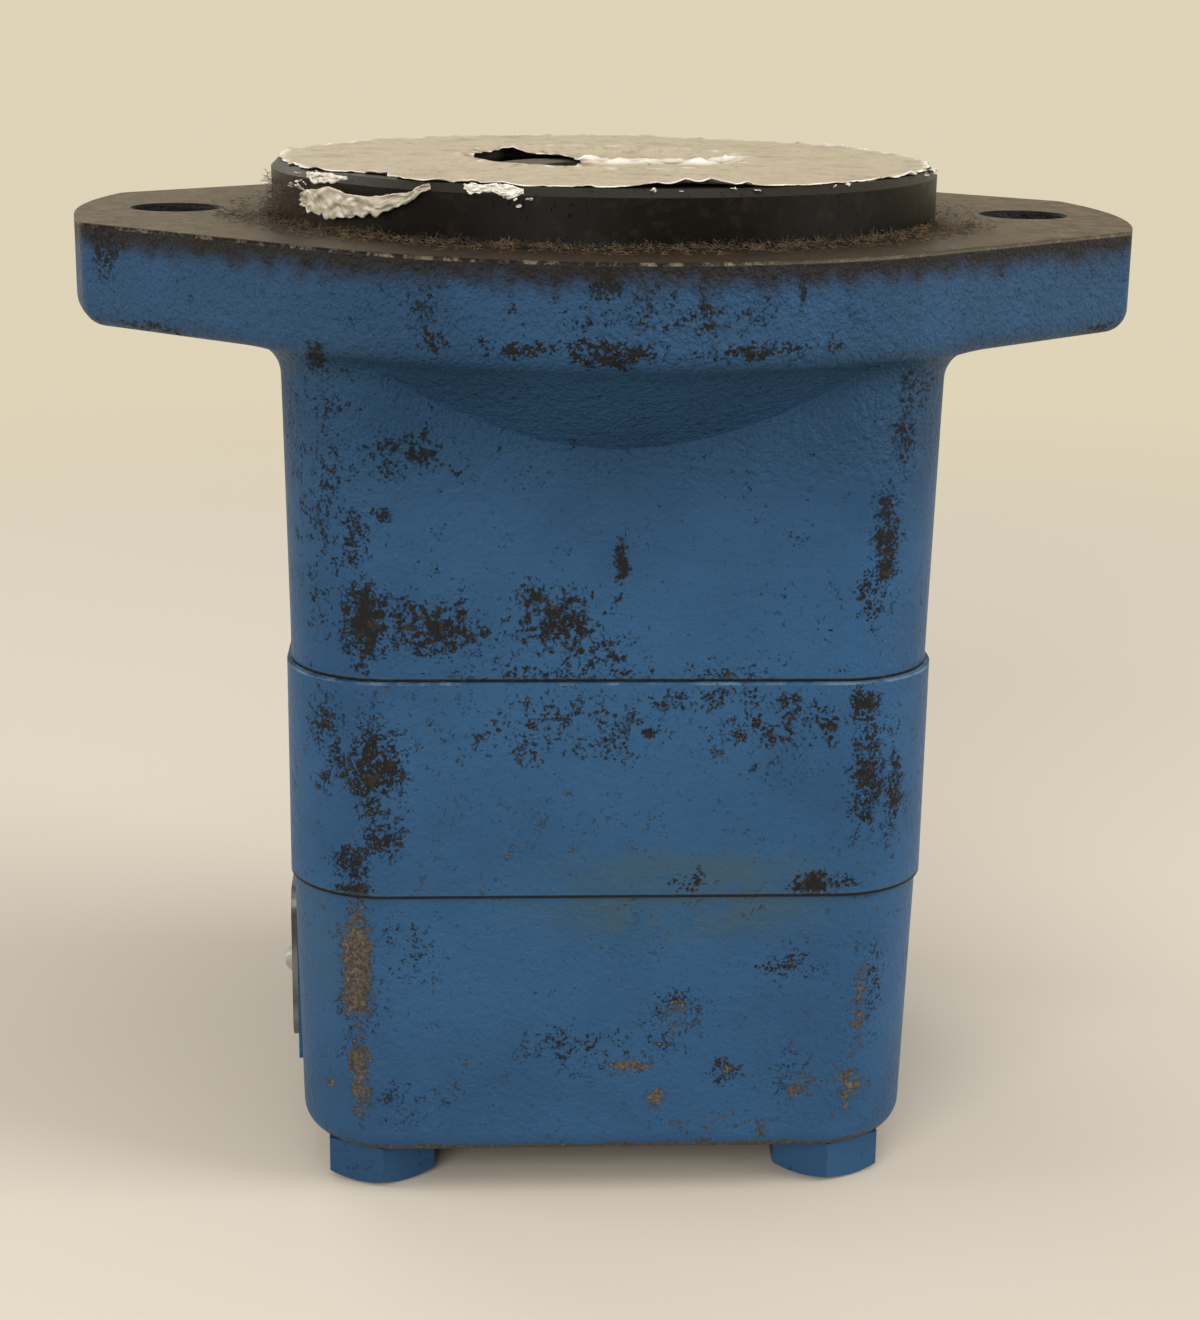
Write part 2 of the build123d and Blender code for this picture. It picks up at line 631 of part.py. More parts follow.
def vane_angle(number):
    """Direction of a vane, half a pitch off the +X axis."""
    return 360 / vane_count * (number + 0.5)


def make_vane(number):
    """A flat vane with a chamfered tip, home in its slot."""
    low = rotor_bottom + vane_end_clearance
    high = rotor_top - vane_end_clearance
    half = vane_thickness / 2
    base = vane_home - vane_height
    outline = Polyline((base, -half), (vane_home - vane_tip_chamfer, -half),
                       (vane_home, -half + vane_tip_chamfer), (vane_home, half - vane_tip_chamfer),
                       (vane_home - vane_tip_chamfer, half), (base, half), close=True)
    vane = extrude(Pos(0, 0, low) * make_face(outline), amount=high - low)
    return Rot(0, 0, vane_angle(number)) * vane


def make_pressure_plate():
    """Floating plate under the rotor, with outlet kidneys, a seal groove and a spigot for the spring."""
    plate = disc(plate_radius, plate_back, ring_bottom)
    groove_top = ring_bottom - plate_seal_drop
    plate -= tube(face_seal_radius, plate_radius - plate_seal_section,
                  groove_top - plate_seal_section, groove_top)
    plate += disc(spring_radius - spring_wire, plate_back - spigot_height, plate_back)
    plate -= kidneys(pressure_angle, plate_back, ring_bottom)
    return plate - pins(pin_radius + pin_clearance, ring_bottom - pin_plate_depth, ring_bottom)


def make_plate_seal():
    """Square ring in the pressure plate's groove."""
    top = ring_bottom - plate_seal_drop - seat_clearance
    inner = plate_radius - plate_seal_section + seat_clearance
    return tube(plate_radius + plate_fit / 2, inner, top - plate_seal_section + 2 * seat_clearance, top)


def make_spring():
    """Coil spring of square wire between the pressure plate and the cover's floor."""
    length = plate_back - cover_chamber_bottom
    pitch = (length - spring_wire) / spring_turns
    path = Helix(pitch, pitch * spring_turns, spring_radius)
    start = Plane(path @ 0, z_dir=path % 0)
    coil = sweep(start * Rectangle(spring_wire, spring_wire), path, is_frenet=True)
    coil = Pos(0, 0, cover_chamber_bottom + spring_wire / 2) * coil
    return coil & disc(spring_radius + spring_wire, cover_chamber_bottom, plate_back)


def make_face_seal(low):
    """Flat square-section ring round a plate, at a joint face."""
    return tube(face_seal_radius - seat_clearance, plate_radius + plate_fit, low, low + face_seal_height)


def make_pieces():
    """Every piece of the pump, by name."""
    pieces = {
        "body_casting": make_body(),
        "cam_ring": make_cam_ring(),
        "end_cover": make_cover(),
        "cover_bolts": make_cover_bolts(),
        "nameplate": make_nameplate(),
        "nameplate_screws": make_nameplate_screws(),
        "foil_seal": make_foil(),
        "drive_shaft": make_shaft(),
        "shaft_seal_case": make_seal_case(),
        "shaft_seal_lip": make_seal_lip(),
        "shaft_seal_spring": make_seal_spring(),
        "bearing_outer_race": make_race(bearing_pocket_radius, outer_track_radius,
                                        outer_track_radius - race_rib),
        "bearing_inner_race": make_race(bearing_seat_radius, inner_track_radius,
                                        inner_track_radius + race_rib),
        "bearing_rollers": make_rollers(),
        "bearing_cage": make_cage(),
        "bearing_circlip": make_circlip(circlip_outer_radius, circlip_outer_radius - circlip_width,
                                        bearing_bottom, circlip_thickness),
        "shaft_circlip": make_circlip(shaft_circlip_groove_radius + shaft_circlip_width,
                                      shaft_circlip_groove_radius + seat_clearance,
                                      bearing_bottom, shaft_circlip_thickness),
        "port_plate": make_port_plate(),
        "port_plate_bushing": tube(bushing_radius, journal_radius + journal_clearance,
                                   ring_top, port_plate_top),
        "port_plate_seal": make_face_seal(ring_top),
        "locating_pins": pins(pin_radius, ring_bottom - pin_plate_depth, port_plate_top + pin_body_depth),
        "rotor": make_rotor(),
        "pressure_plate": make_pressure_plate(),
        "pressure_plate_seal": make_plate_seal(),
        "pressure_plate_spring": make_spring(),
        "cover_seal": make_face_seal(ring_bottom - face_seal_height),
    }
    for number in range(vane_count):
        pieces[f"vane_{number + 1:02d}"] = make_vane(number)
    return pieces


if __name__ == "__main__":
    os.makedirs("parts", exist_ok=True)
    for name, piece in make_pieces().items():
        export_step(piece, f"parts/{name}.step")
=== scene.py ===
import json
import math
import random

import bmesh
import bpy
from mathutils import Euler, Matrix, Vector, noise


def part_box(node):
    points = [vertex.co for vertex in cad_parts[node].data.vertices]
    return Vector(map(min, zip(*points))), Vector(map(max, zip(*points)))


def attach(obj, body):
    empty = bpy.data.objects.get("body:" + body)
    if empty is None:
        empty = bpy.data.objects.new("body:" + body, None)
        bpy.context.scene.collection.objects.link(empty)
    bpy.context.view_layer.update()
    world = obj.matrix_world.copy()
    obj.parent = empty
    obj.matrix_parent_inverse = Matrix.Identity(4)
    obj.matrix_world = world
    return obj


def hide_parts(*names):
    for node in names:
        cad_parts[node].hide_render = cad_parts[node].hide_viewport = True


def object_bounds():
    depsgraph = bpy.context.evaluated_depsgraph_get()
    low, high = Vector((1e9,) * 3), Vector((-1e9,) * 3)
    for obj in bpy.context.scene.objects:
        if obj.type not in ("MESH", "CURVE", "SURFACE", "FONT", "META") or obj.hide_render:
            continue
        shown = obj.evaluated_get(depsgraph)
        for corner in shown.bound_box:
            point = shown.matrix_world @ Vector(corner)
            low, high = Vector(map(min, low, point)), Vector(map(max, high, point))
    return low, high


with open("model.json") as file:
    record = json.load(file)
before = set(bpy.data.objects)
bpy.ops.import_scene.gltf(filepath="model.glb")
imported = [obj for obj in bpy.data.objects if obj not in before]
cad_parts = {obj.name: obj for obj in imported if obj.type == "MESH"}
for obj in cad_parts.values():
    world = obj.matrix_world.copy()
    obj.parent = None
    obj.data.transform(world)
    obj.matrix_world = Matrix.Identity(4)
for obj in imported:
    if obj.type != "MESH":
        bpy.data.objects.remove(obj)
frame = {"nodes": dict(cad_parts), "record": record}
mounts = {mount["name"]: mount for mount in frame["record"]["mounts"]}
cadLow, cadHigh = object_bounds()
mm = 0.001
random.seed(7)


def feed(tree, socket, value):
    # a socket takes either another node's output or a plain value
    if isinstance(value, bpy.types.NodeSocket):
        tree.links.new(value, socket)
    else:
        socket.default_value = value


def calc(tree, operation, a, b=0.5):
    node = tree.nodes.new("ShaderNodeMath")
    node.operation = operation
    feed(tree, node.inputs[0], a)
    feed(tree, node.inputs[1], b)
    return node.outputs[0]


def times(tree, value, factor):
    return calc(tree, "MULTIPLY", value, factor)


def rise(tree, value, low, high, share=1.0):
    # 0 below low, the share above high and smooth between; low may be the larger
    node = tree.nodes.new("ShaderNodeMapRange")
    node.interpolation_type = "SMOOTHSTEP"
    feed(tree, node.inputs["Value"], value)
    if low < high:
        limits = (low, high, 0.0, share)
    else:
        limits = (high, low, share, 0.0)
    for name, limit in zip(("From Min", "From Max", "To Min", "To Max"), limits):
        node.inputs[name].default_value = limit
    return node.outputs[0]


def blend(tree, factor, first, second):
    node = tree.nodes.new("ShaderNodeMix")
    node.data_type = "RGBA"
    feed(tree, node.inputs[0], factor)
    # the colours of this node are its inputs 6 and 7 and its output 2
    for socket, value in ((node.inputs[6], first), (node.inputs[7], second)):
        feed(tree, socket, value if isinstance(value, bpy.types.NodeSocket) else (*value, 1.0))
    return node.outputs[2]


def grain(tree, place, scale, detail, roughness=0.55):
    # plain noise; the scale is per millimetre
    node = tree.nodes.new("ShaderNodeTexNoise")
    feed(tree, node.inputs["Vector"], place)
    node.inputs["Scale"].default_value = scale
    node.inputs["Detail"].default_value = detail
    node.inputs["Roughness"].default_value = roughness
    return node.outputs["Fac"]


def patches(tree, place, settings):
    # noise cut to patches, from (scale, detail, roughness, where a patch starts, where it is full, share)
    return rise(tree, grain(tree, place, *settings[:3]), *settings[3:])


def placeInMm(tree):
    # where a point is on the pump, in millimetres
    coords = tree.nodes.new("ShaderNodeTexCoord")
    node = tree.nodes.new("ShaderNodeVectorMath")
    node.operation = "SCALE"
    tree.links.new(coords.outputs["Object"], node.inputs[0])
    node.inputs["Scale"].default_value = 1 / mm
    return node.outputs[0]


def splitPlace(tree, place):
    node = tree.nodes.new("ShaderNodeSeparateXYZ")
    tree.links.new(place, node.inputs[0])
    return node.outputs


def fromAxis(tree, first, second):
    # how far a point is from an axis, given its two coordinates across it
    squares = [times(tree, value, value) for value in (first, second)]
    return calc(tree, "SQRT", calc(tree, "ADD", *squares))


wearCore = 0.15               # the share of its reach in which a worn place is at full strength


def spot(tree, place, centre, reach):
    # 1 in the middle of an ellipsoid of wear, 0 outside it
    steps = []
    for operation, value in (("SUBTRACT", centre), ("DIVIDE", reach), ("LENGTH", None)):
        step = tree.nodes.new("ShaderNodeVectorMath")
        step.operation = operation
        tree.links.new(steps[-1].outputs[0] if steps else place, step.inputs[0])
        if value is not None:
            step.inputs[1].default_value = value
        steps.append(step)
    return rise(tree, steps[-1].outputs["Value"], 1.0, wearCore)


def spots(tree, place, wornPlaces):
    total = 0.0
    for centre, reach, strength in wornPlaces:
        one = times(tree, spot(tree, place, centre, reach), strength)
        total = calc(tree, "MAXIMUM", total, one)
    return total


def newMaterial(name, metallic=0.0, roughness=0.5, gloss=0.5):
    material = bpy.data.materials.new(name)
    material.use_nodes = True
    tree = material.node_tree
    shader = tree.nodes["Principled BSDF"]
    for socket, value in (("Metallic", metallic), ("Roughness", roughness), ("Specular IOR Level", gloss)):
        shader.inputs[socket].default_value = value
    return material, tree, shader, placeInMm(tree)


def addBump(tree, shader, height, depthMm):
    node = tree.nodes.new("ShaderNodeBump")
    node.inputs["Strength"].default_value = 1.0
    node.inputs["Distance"].default_value = depthMm * mm
    feed(tree, node.inputs["Height"], height)
    tree.links.new(node.outputs[0], shader.inputs["Normal"])


paint = {
    "gloss": 0.11,
    "blue": (0.0222, 0.0720, 0.151),
    "blueDull": (0.0168, 0.0553, 0.118),
    "blueDusty": (0.0320, 0.0665, 0.095),
    # lifted paint round chips, paler partly as painted highlight
    "liftedBlue": (0.066, 0.132, 0.216),
    # black of chips and joint lines, and the painted shade deep in the ports
    "chip": (0.008, 0.008, 0.008),
    "chipBrown": (0.023, 0.017, 0.011),
    "bareTan": (0.110, 0.085, 0.058),
    "bareDark": (0.040, 0.036, 0.030),
    "bareBright": (0.50, 0.44, 0.36),
    # painted highlight on the ring's upper edge
    "edgeBlue": (0.096, 0.166, 0.246),
    "grime": (0.012, 0.009, 0.006),
    # painted shade under the flange, mixed with old oil
    "oiledBlue": (0.004, 0.010, 0.016),
    "topMetal": (0.085, 0.056, 0.029),
    "topDark": (0.016, 0.011, 0.006),
    "topFleck": (0.105, 0.076, 0.045),
    "edgeMetal": (0.210, 0.165, 0.110),
    "pilotDark": (0.003, 0.002, 0.001),
    "pilotRust": (0.020, 0.013, 0.007),
    "chamferMetal": (0.015, 0.013, 0.010),
    "drilled": (0.010, 0.012, 0.012),
    "portIron": (0.200, 0.188, 0.172),
    "portDark": (0.060, 0.054, 0.046),
}

# wear is given as (centre, reach, strength), in millimetres from the middle of the mounting face
bodyChips = (
    ((-33, -33, -28), (7, 14, 26), 0.60),
    ((-34, -41, -13.0), (2.4, 9, 4.5), 1.45),
    ((-29, -37, -43), (5.5, 12, 9), 1.25),
    ((-30, -37, -34), (3.2, 12, 7), 1.00),
    ((-21, -39, -44), (12, 6, 6), 0.92),
    ((-7, -39, -43), (11, 6, 7), 1.02),
    ((-3, -39, -47), (8, 6, 5), 0.85),
    ((0.5, -39, -36), (1.6, 6, 5), 1.20),
    ((31, -36, -34), (3.2, 12, 11), 1.18),
    ((30, -37, -40), (4.0, 12, 7), 0.90),
    ((33, -35, -21), (3.0, 12, 9), 0.85),
    ((-25, -39, -24), (8, 6, 5), 0.72),
    ((-27, -39, -30.5), (2.0, 6, 1.6), 1.20),
    ((0, -39, -49.5), (36, 6, 2.6), 0.62),
    ((4, -54, -6), (20, 10, 5), 0.56),
    ((18.5, -53, -3.5), (0.9, 8, 3.6), 1.40),
    ((-3, -54, -3.0), (5, 8, 3), 0.85),
    ((-22, -52, -6), (5, 8, 5), 0.62),
    ((-59, -19, -4), (3.0, 8, 7), 1.10),
    ((34, -38, -17), (5, 12, 6), 0.72),
    ((34, 34, -30), (6, 9, 18), 0.80),
    ((39, -10, -44), (6, 16, 6), 0.85),
    ((39, 16, -30), (6, 6, 10), 0.72),
    ((-39, -8, -45), (6, 18, 5), 0.78),
    ((-39, 16, -28), (6, 8, 8), 0.70),
    ((-27, 39, -46), (8, 6, 6), 0.85),
    ((24, 40, -45), (9, 7, 6), 0.80),
    ((4, 54, -8), (22, 10, 4), 0.76),
    ((34, 46, -9), (7, 8, 4), 0.85),
    ((-40, 40, -5), (9, 8, 5), 0.78),
    ((-34, 34, -38), (6, 9, 12), 0.75),
)
bodyRust = (
    ((-2, -54, -9.6), (10, 6, 2.8), 1.25),
    ((-12, -54, -9.6), (14, 6, 1.8), 1.00),
    ((14, -53, -9.6), (13, 6, 1.9), 1.02),
    ((23, -52, -9.4), (3.5, 6, 2.2), 1.20),
    ((-21, -52, -9.4), (3.5, 6, 2.6), 1.05),
    ((58, -20, -11.4), (8, 8, 1.6), 0.95),
    ((-52, -24, -11.4), (14, 8, 1.6), 0.90),
)
ringChips = (
    ((-28, -38, -61), (5.5, 9, 11), 1.12),
    ((-27, -39, -68), (4.0, 7, 6), 0.98),
    ((-33, -36, -58), (5, 9, 10), 0.80),
    ((-31, -37, -73), (4, 9, 5), 0.98),
    ((-8, -39, -56), (24, 5, 8), 0.54),
    ((14, -39, -52.5), (20, 5, 3), 0.70),
    ((19, -39, -56), (13, 5, 9), 0.68),
    ((4, -39, -56.5), (1.6, 5, 1.2), 1.30),
    ((25, -38, -56), (2.2, 6, 5), 1.10),
    ((29, -37, -53.5), (3.2, 8, 4), 1.25),
    ((30, -37, -63), (4.0, 9, 14), 1.00),
    ((33.5, -35, -64), (2.2, 9, 14), 0.95),
    ((24.5, -38, -75.2), (6.5, 6, 2.4), 1.35),
    ((-31, -38, -76.0), (4.0, 8, 1.8), 1.40),
    ((9, -39, -75), (4, 5, 2.4), 0.80),
    ((34, 34, -62), (7, 9, 10), 0.85),
    ((39, 2, -54), (5, 18, 4), 0.78),
    ((39, -18, -66), (5, 8, 8), 0.72),
    ((-39, 4, -55), (5, 20, 4), 0.72),
    ((-39, -22, -70), (5, 8, 6), 0.80),
    ((10, 39, -54), (20, 5, 4), 0.72),
    ((-14, 39, -72), (12, 5, 4), 0.76),
    ((-34, 33, -60), (7, 9, 9), 0.80),
)
coverTan = (
    ((-30.3, -37, -86), (3.4, 9, 12), 1.75),
    ((-30.2, -37, -100), (2.4, 9, 11), 1.25),
    ((14.2, -38, -100.0), (2.4, 5, 1.8), 0.95),
    ((2.6, -38, -99.2), (4.5, 5, 1.4), 1.15),
    ((5.5, -38, -103.6), (2.8, 5, 2.4), 1.05),
    ((30.4, -37, -92), (1.7, 7, 11), 1.05),
    ((29, -37, -103), (5, 7, 5), 0.92),
    ((8, -38, -93), (4, 5, 4), 0.85),
    ((24, -38, -102), (5, 5, 4), 0.85),
    ((-34, -36, -102.6), (1.3, 6, 1.3), 1.50),
    ((14, -38, -107), (18, 6, 3), 0.60),
    ((-34, 34, -96), (5, 8, 12), 0.85),
    ((34, 34, -104), (6, 8, 7), 0.85),
    ((38, 8, -105), (5, 16, 4), 0.92),
    ((-38, 0, -108), (5, 26, 2.6), 0.98),
    ((-4, 38, -107), (16, 5, 3), 0.92),
)
coverChips = (
    ((-30, -37, -90), (5, 9, 16), 0.80),
    ((8, -38, -93), (6, 5, 7), 0.82),
    ((14, -38, -100), (3.6, 5, 3.2), 1.15),
    ((-4, -38, -97), (12, 5, 6), 0.58),
    ((-25, -38, -84), (9, 5, 8), 0.42),
    ((20, -38, -86), (9, 5, 5), 0.62),
    ((22, -38, -101), (5, 5, 5), 0.78),
    ((31, -36, -90), (4, 7, 10), 0.74),
    ((38, 2, -80), (5, 18, 3), 0.72),
    ((38, -16, -100), (5, 12, 8), 0.78),
    ((-38, 24, -84), (5, 9, 6), 0.74),
    ((-22, 38, -88), (8, 5, 8), 0.70),
    ((22, 38, -106), (12, 5, 4), 0.80),
    ((-24, -38, -104), (10, 5, 6), 0.44),
)
ringDust = (((9, -39, -74), (27, 6, 5), 1.3),)
coverDust = (((8, -38, -78), (27, 6, 7), 1.5), ((-34, -34, -84), (7, 9, 14), 0.6))

# patterns are (scale, detail, roughness, where a patch starts, where it is full), and pairs the first
# and the last value over which something fades in; a further number is the share that it reaches
casting = {
    "roughness": 0.30,
    "roughNoise": (0.9, 4),
    "roughSpread": 0.20,
    "wornRoughness": 0.22,
    "faded": (0.045, 3, 0.55, 0.35, 0.70),
    "mottle": (1.3, 3, 0.55, 0.50, 0.75, 0.35),
    "film": (0.25, 5, 0.55, 0.25, 0.60, 0.7),
    "chipLayers": ((0.30, 0.34), (1.0, 0.42), (2.7, 0.54)),
    "chipDetail": (4, 0.6),
    "chipOffset": 0.15,
    "chipWear": 0.155,        # how far full wear raises the noise
    "chipEdge": (0.640, 0.652),
    "chipBrown": (0.9, 4, 0.60, 0.52, 0.66),
    "liftedEdge": (0.618, 0.636, 0.22),
    "bareWear": 0.165,
    "bareEdge": (0.640, 0.658),
    "rubbed": ((2.2, 1.1), (1.25, 0.80)),
    "rubbedWear": 0.15,
    "sparkle": (2.2, 5, 0.75),
    "rustMix": (0.45, 0.68),
    "tanMix": (0.42, 0.62),
    "brightMix": (0.67, 0.72),
    "besideJoint": (0.80, 0.50, 0.45),
    "jointLine": (0.42, 0.28),
    "brightRim": (0.34, 0.20),
    "rimPatches": (0.25, 4, 0.55, 0.44, 0.60, 0.8),
    "skin": (0.95, 4),
    "fineSkin": (2.4, 3, 0.5),
    "fineShare": 0.55,
    "curl": (0.605, 0.640, 0.22),
    "pit": 0.62,
    "relief": 0.34,
}

flange = {
    # levels are from the mounting face, upwards
    "neck": (-42.0, -19.0, 0.32),
    "ears": (-13.5, -12.0, -0.13),
    "smear": (0.3, 6, 0.7),
    "smearReach": 5.5,
    "oily": (-4.3, -1.0, 0.96),
    "rim": (-0.55, -0.30),
    "rimBreaks": (0.62, 6, 0.80, 0.47, 0.61),
    "rimEven": (2.0, 26.0, 0.50),
    "face": (-0.12, -0.03),
    "dirt": (0.35, 6, 0.70, 0.34, 0.66),
    "middle": (52.0, 36.0, 0.88),
    "besidePilot": (47.5, 42.5, 0.85),
    "flecks": (1.5, 5, 0.75, 0.56, 0.66, 0.55),
    "rust": (0.5, 6, 0.75, 0.50, 0.70, 0.6),
    "leftward": (-24.0, -37.0, 0.9),
    "pilotWall": (0.05, 0.4),
    "chamfer": (5.35, 5.50),
    "painted": (-0.05, -0.35),
    "drillEdge": (0.15, 0.05),
    "rougher": (-30.0, -20.0, 1.75),
    "neckSkin": 0.60,
}

bores = {
    "seat": 1.5,              # how much wider than the thread the port's cone is at its mouth
    "seatEdge": 0.12,
    "innerEnd": 18.0,         # from here outwards along y the bore is cut
    "innerFade": 1.0,
    "dirtFrom": 34.0,
    "iron": (0.8, 4),
    "metallic": 0.35,
}


def chipNoise(tree, place):
    # three sizes of noise added up; where wear raises it past a threshold, the paint is off
    total = -casting["chipOffset"]
    for scale, amount in casting["chipLayers"]:
        layer = times(tree, grain(tree, place, scale, *casting["chipDetail"]), amount)
        total = calc(tree, "ADD", layer, total)
    return total


def bareIron(tree, place, rusty):
    # what shows where a broad patch of paint is off
    sparkle = grain(tree, place, *casting["sparkle"])
    if rusty:
        return blend(tree, rise(tree, sparkle, *casting["rustMix"]), paint["chip"], paint["chipBrown"])
    colour = blend(tree, rise(tree, sparkle, *casting["tanMix"]), paint["bareDark"], paint["bareTan"])
    return blend(tree, rise(tree, sparkle, *casting["brightMix"]), colour, paint["bareBright"])


def flangeShadeAndDirt(tree, place, xyz, colour):
    # painted shade under the flange, together with old oil, darkens the neck; old oil also runs down from the
    # flange's rim
    shadeAndOil = calc(tree, "ADD", *(rise(tree, xyz["Z"], *flange[zone]) for zone in ("neck", "ears")))
    colour = blend(tree, shadeAndOil, colour, paint["oiledBlue"])
    smear = calc(tree, "SUBTRACT", grain(tree, place, *flange["smear"]), 0.5)
    depth = calc(tree, "ADD", xyz["Z"], times(tree, smear, flange["smearReach"]))
    colour = blend(tree, rise(tree, depth, *flange["oily"]), colour, paint["grime"])
    # the rim is rubbed bright, in short breaks to the left and evenly to the right
    even = rise(tree, xyz["X"], *flange["rimEven"])
    rubbed = calc(tree, "MAXIMUM", patches(tree, place, flange["rimBreaks"]), even)
    rubbed = times(tree, rise(tree, xyz["Z"], *flange["rim"]), rubbed)
    return blend(tree, rubbed, colour, paint["edgeMetal"])


def oldMetal(tree, place, xyz, colour):
    # the mounting face, dark towards the middle and the pilot, and then the pilot itself
    away = {"middle": calc(tree, "ABSOLUTE", xyz["X"]), "besidePilot": fromAxis(tree, xyz["X"], xyz["Y"])}
    metal = blend(tree, patches(tree, place, flange["dirt"]), paint["topMetal"], paint["topDark"])
    for zone, dark in (("middle", "topDark"), ("besidePilot", "pilotDark")):
        metal = blend(tree, rise(tree, away[zone], *flange[zone]), metal, paint[dark])
    metal = blend(tree, patches(tree, place, flange["flecks"]), metal, paint["topFleck"])
    leftward = rise(tree, xyz["X"], *flange["leftward"])
    rusty = calc(tree, "MAXIMUM", patches(tree, place, flange["rust"]), leftward)
    wall = blend(tree, rusty, paint["pilotDark"], paint["pilotRust"])
    for zone, shade in (("face", metal), ("pilotWall", wall), ("chamfer", paint["chamferMetal"])):
        colour = blend(tree, rise(tree, xyz["Z"], *flange[zone]), colour, shade)
    return colour


def drilledHoles(tree, xyz, colour):
    sizes = mounts["flange_bolts"]["dims"]
    outer, inner = (sizes["hole_r_mm"] + edge for edge in flange["drillEdge"])
    for side in (-1, 1):
        centre = side * sizes["spacing_x_mm"] / 2
        away = fromAxis(tree, calc(tree, "SUBTRACT", xyz["X"], centre), xyz["Y"])
        colour = blend(tree, rise(tree, away, outer, inner), colour, paint["drilled"])
    return colour


def machinedPort(tree, place, xyz, port, colour):
    # the port's thread and seat are machined through the paint
    above = calc(tree, "SUBTRACT", xyz["Z"], port["pos_m"][2] / mm)
    away = fromAxis(tree, xyz["X"], above)
    innerEnd, mouth = bores["innerEnd"], port["dims"]["r_mm"] + bores["seat"]
    deep = rise(tree, xyz["Y"], innerEnd - bores["innerFade"], innerEnd)
    cut = times(tree, deep, rise(tree, away, mouth, mouth - bores["seatEdge"]))
    iron = blend(tree, grain(tree, place, *bores["iron"]), paint["portIron"], paint["portDark"])
    # painted shade: the iron turns black deeper in the bore
    iron = blend(tree, rise(tree, xyz["Y"], bores["dirtFrom"], innerEnd), iron, paint["chip"])
    return cut, blend(tree, cut, colour, iron)


def paintedCasting(name, chips=(), tans=(), dust=(), peel=1.0, rubbedRim=None, brightRim=None,
                   mountingFace=False, jointAt=None, port=None, darkened=0.0):
    material, tree, shader, place = newMaterial(name, gloss=paint["gloss"])
    xyz = splitPlace(tree, place)
    colour = blend(tree, patches(tree, place, casting["faded"]), paint["blue"], paint["blueDull"])
    colour = blend(tree, patches(tree, place, casting["mottle"]), colour, paint["blueDull"])
    if dust:
        film = times(tree, spots(tree, place, dust), patches(tree, place, casting["film"]))
        colour = blend(tree, film, colour, paint["blueDusty"])

    # small chips, with the paint round each one lifted and paler, partly painted highlight where the lifted
    # edge catches light
    speckle = chipNoise(tree, place)
    wear = calc(tree, "ADD", times(tree, spots(tree, place, chips), casting["chipWear"]), speckle)
    chipped = rise(tree, wear, *casting["chipEdge"])
    colour = blend(tree, rise(tree, wear, *casting["liftedEdge"]), colour, paint["liftedBlue"])
    brown = blend(tree, patches(tree, place, casting["chipBrown"]), paint["chip"], paint["chipBrown"])
    colour = blend(tree, chipped, colour, brown)

    # broad bare patches
    bare = calc(tree, "ADD", times(tree, spots(tree, place, tans), casting["bareWear"]), speckle)
    if rubbedRim is not None:
        # the lower rim of the cover is rubbed to bare iron
        for upper, lower in casting["rubbed"]:
            rim = rise(tree, xyz["Z"], rubbedRim + upper, rubbedRim + lower)
            bare = calc(tree, "ADD", bare, times(tree, rim, casting["rubbedWear"]))
    bared = rise(tree, bare, *casting["bareEdge"])
    colour = blend(tree, bared, colour, bareIron(tree, place, mountingFace))

    if jointAt is not None:
        # a dark line where this casting stands on the next, with dust above it
        away = calc(tree, "SUBTRACT", xyz["Z"], jointAt)
        colour = blend(tree, rise(tree, away, *casting["besideJoint"]), colour, paint["blueDusty"])
        colour = blend(tree, rise(tree, away, *casting["jointLine"]), colour, paint["chip"])
    if brightRim is not None:
        # painted highlight along the upper edge, which stands proud of its neighbour
        away = calc(tree, "ABSOLUTE", calc(tree, "SUBTRACT", xyz["Z"], brightRim))
        rim = rise(tree, away, *casting["brightRim"])
        rim = times(tree, rim, patches(tree, place, casting["rimPatches"]))
        colour = blend(tree, rim, colour, paint["edgeBlue"])
    if darkened > 0:
        # the whole paint is darkened towards the grime colour
        colour = blend(tree, darkened, colour, paint["grime"])
    painted, cut = 1.0, 0.0
    if mountingFace:
        colour = flangeShadeAndDirt(tree, place, xyz, colour)
        colour = oldMetal(tree, place, xyz, colour)
        colour = drilledHoles(tree, xyz, colour)
        painted = rise(tree, xyz["Z"], *flange["painted"])
    if port is not None:
        cut, colour = machinedPort(tree, place, xyz, port, colour)
        tree.links.new(times(tree, cut, bores["metallic"]), shader.inputs["Metallic"])
    tree.links.new(colour, shader.inputs["Base Color"])

    broken = calc(tree, "MAXIMUM", chipped, bared)
    rough = times(tree, grain(tree, place, *casting["roughNoise"]), casting["roughSpread"])
    rough = calc(tree, "ADD", rough, casting["roughness"])
    rough = calc(tree, "ADD", rough, times(tree, broken, casting["wornRoughness"]))
    tree.links.new(rough, shader.inputs["Roughness"])

    fine = times(tree, grain(tree, place, *casting["fineSkin"]), casting["fineShare"])
    skin = calc(tree, "ADD", grain(tree, place, *casting["skin"]), fine)
    if mountingFace:
        # the flange is cast rougher than the neck below it
        rougher = rise(tree, xyz["Z"], *flange["rougher"])
        skin = times(tree, skin, calc(tree, "ADD", rougher, flange["neckSkin"]))
    # each chip is a shallow pit with a curled edge
    curled = rise(tree, wear, *casting["curl"])
    pits = calc(tree, "SUBTRACT", curled, times(tree, broken, casting["pit"]))
    skin = times(tree, times(tree, skin, painted), calc(tree, "SUBTRACT", 1.0, cut))
    addBump(tree, shader, calc(tree, "ADD", times(tree, skin, peel), pits), casting["relief"])
    return material


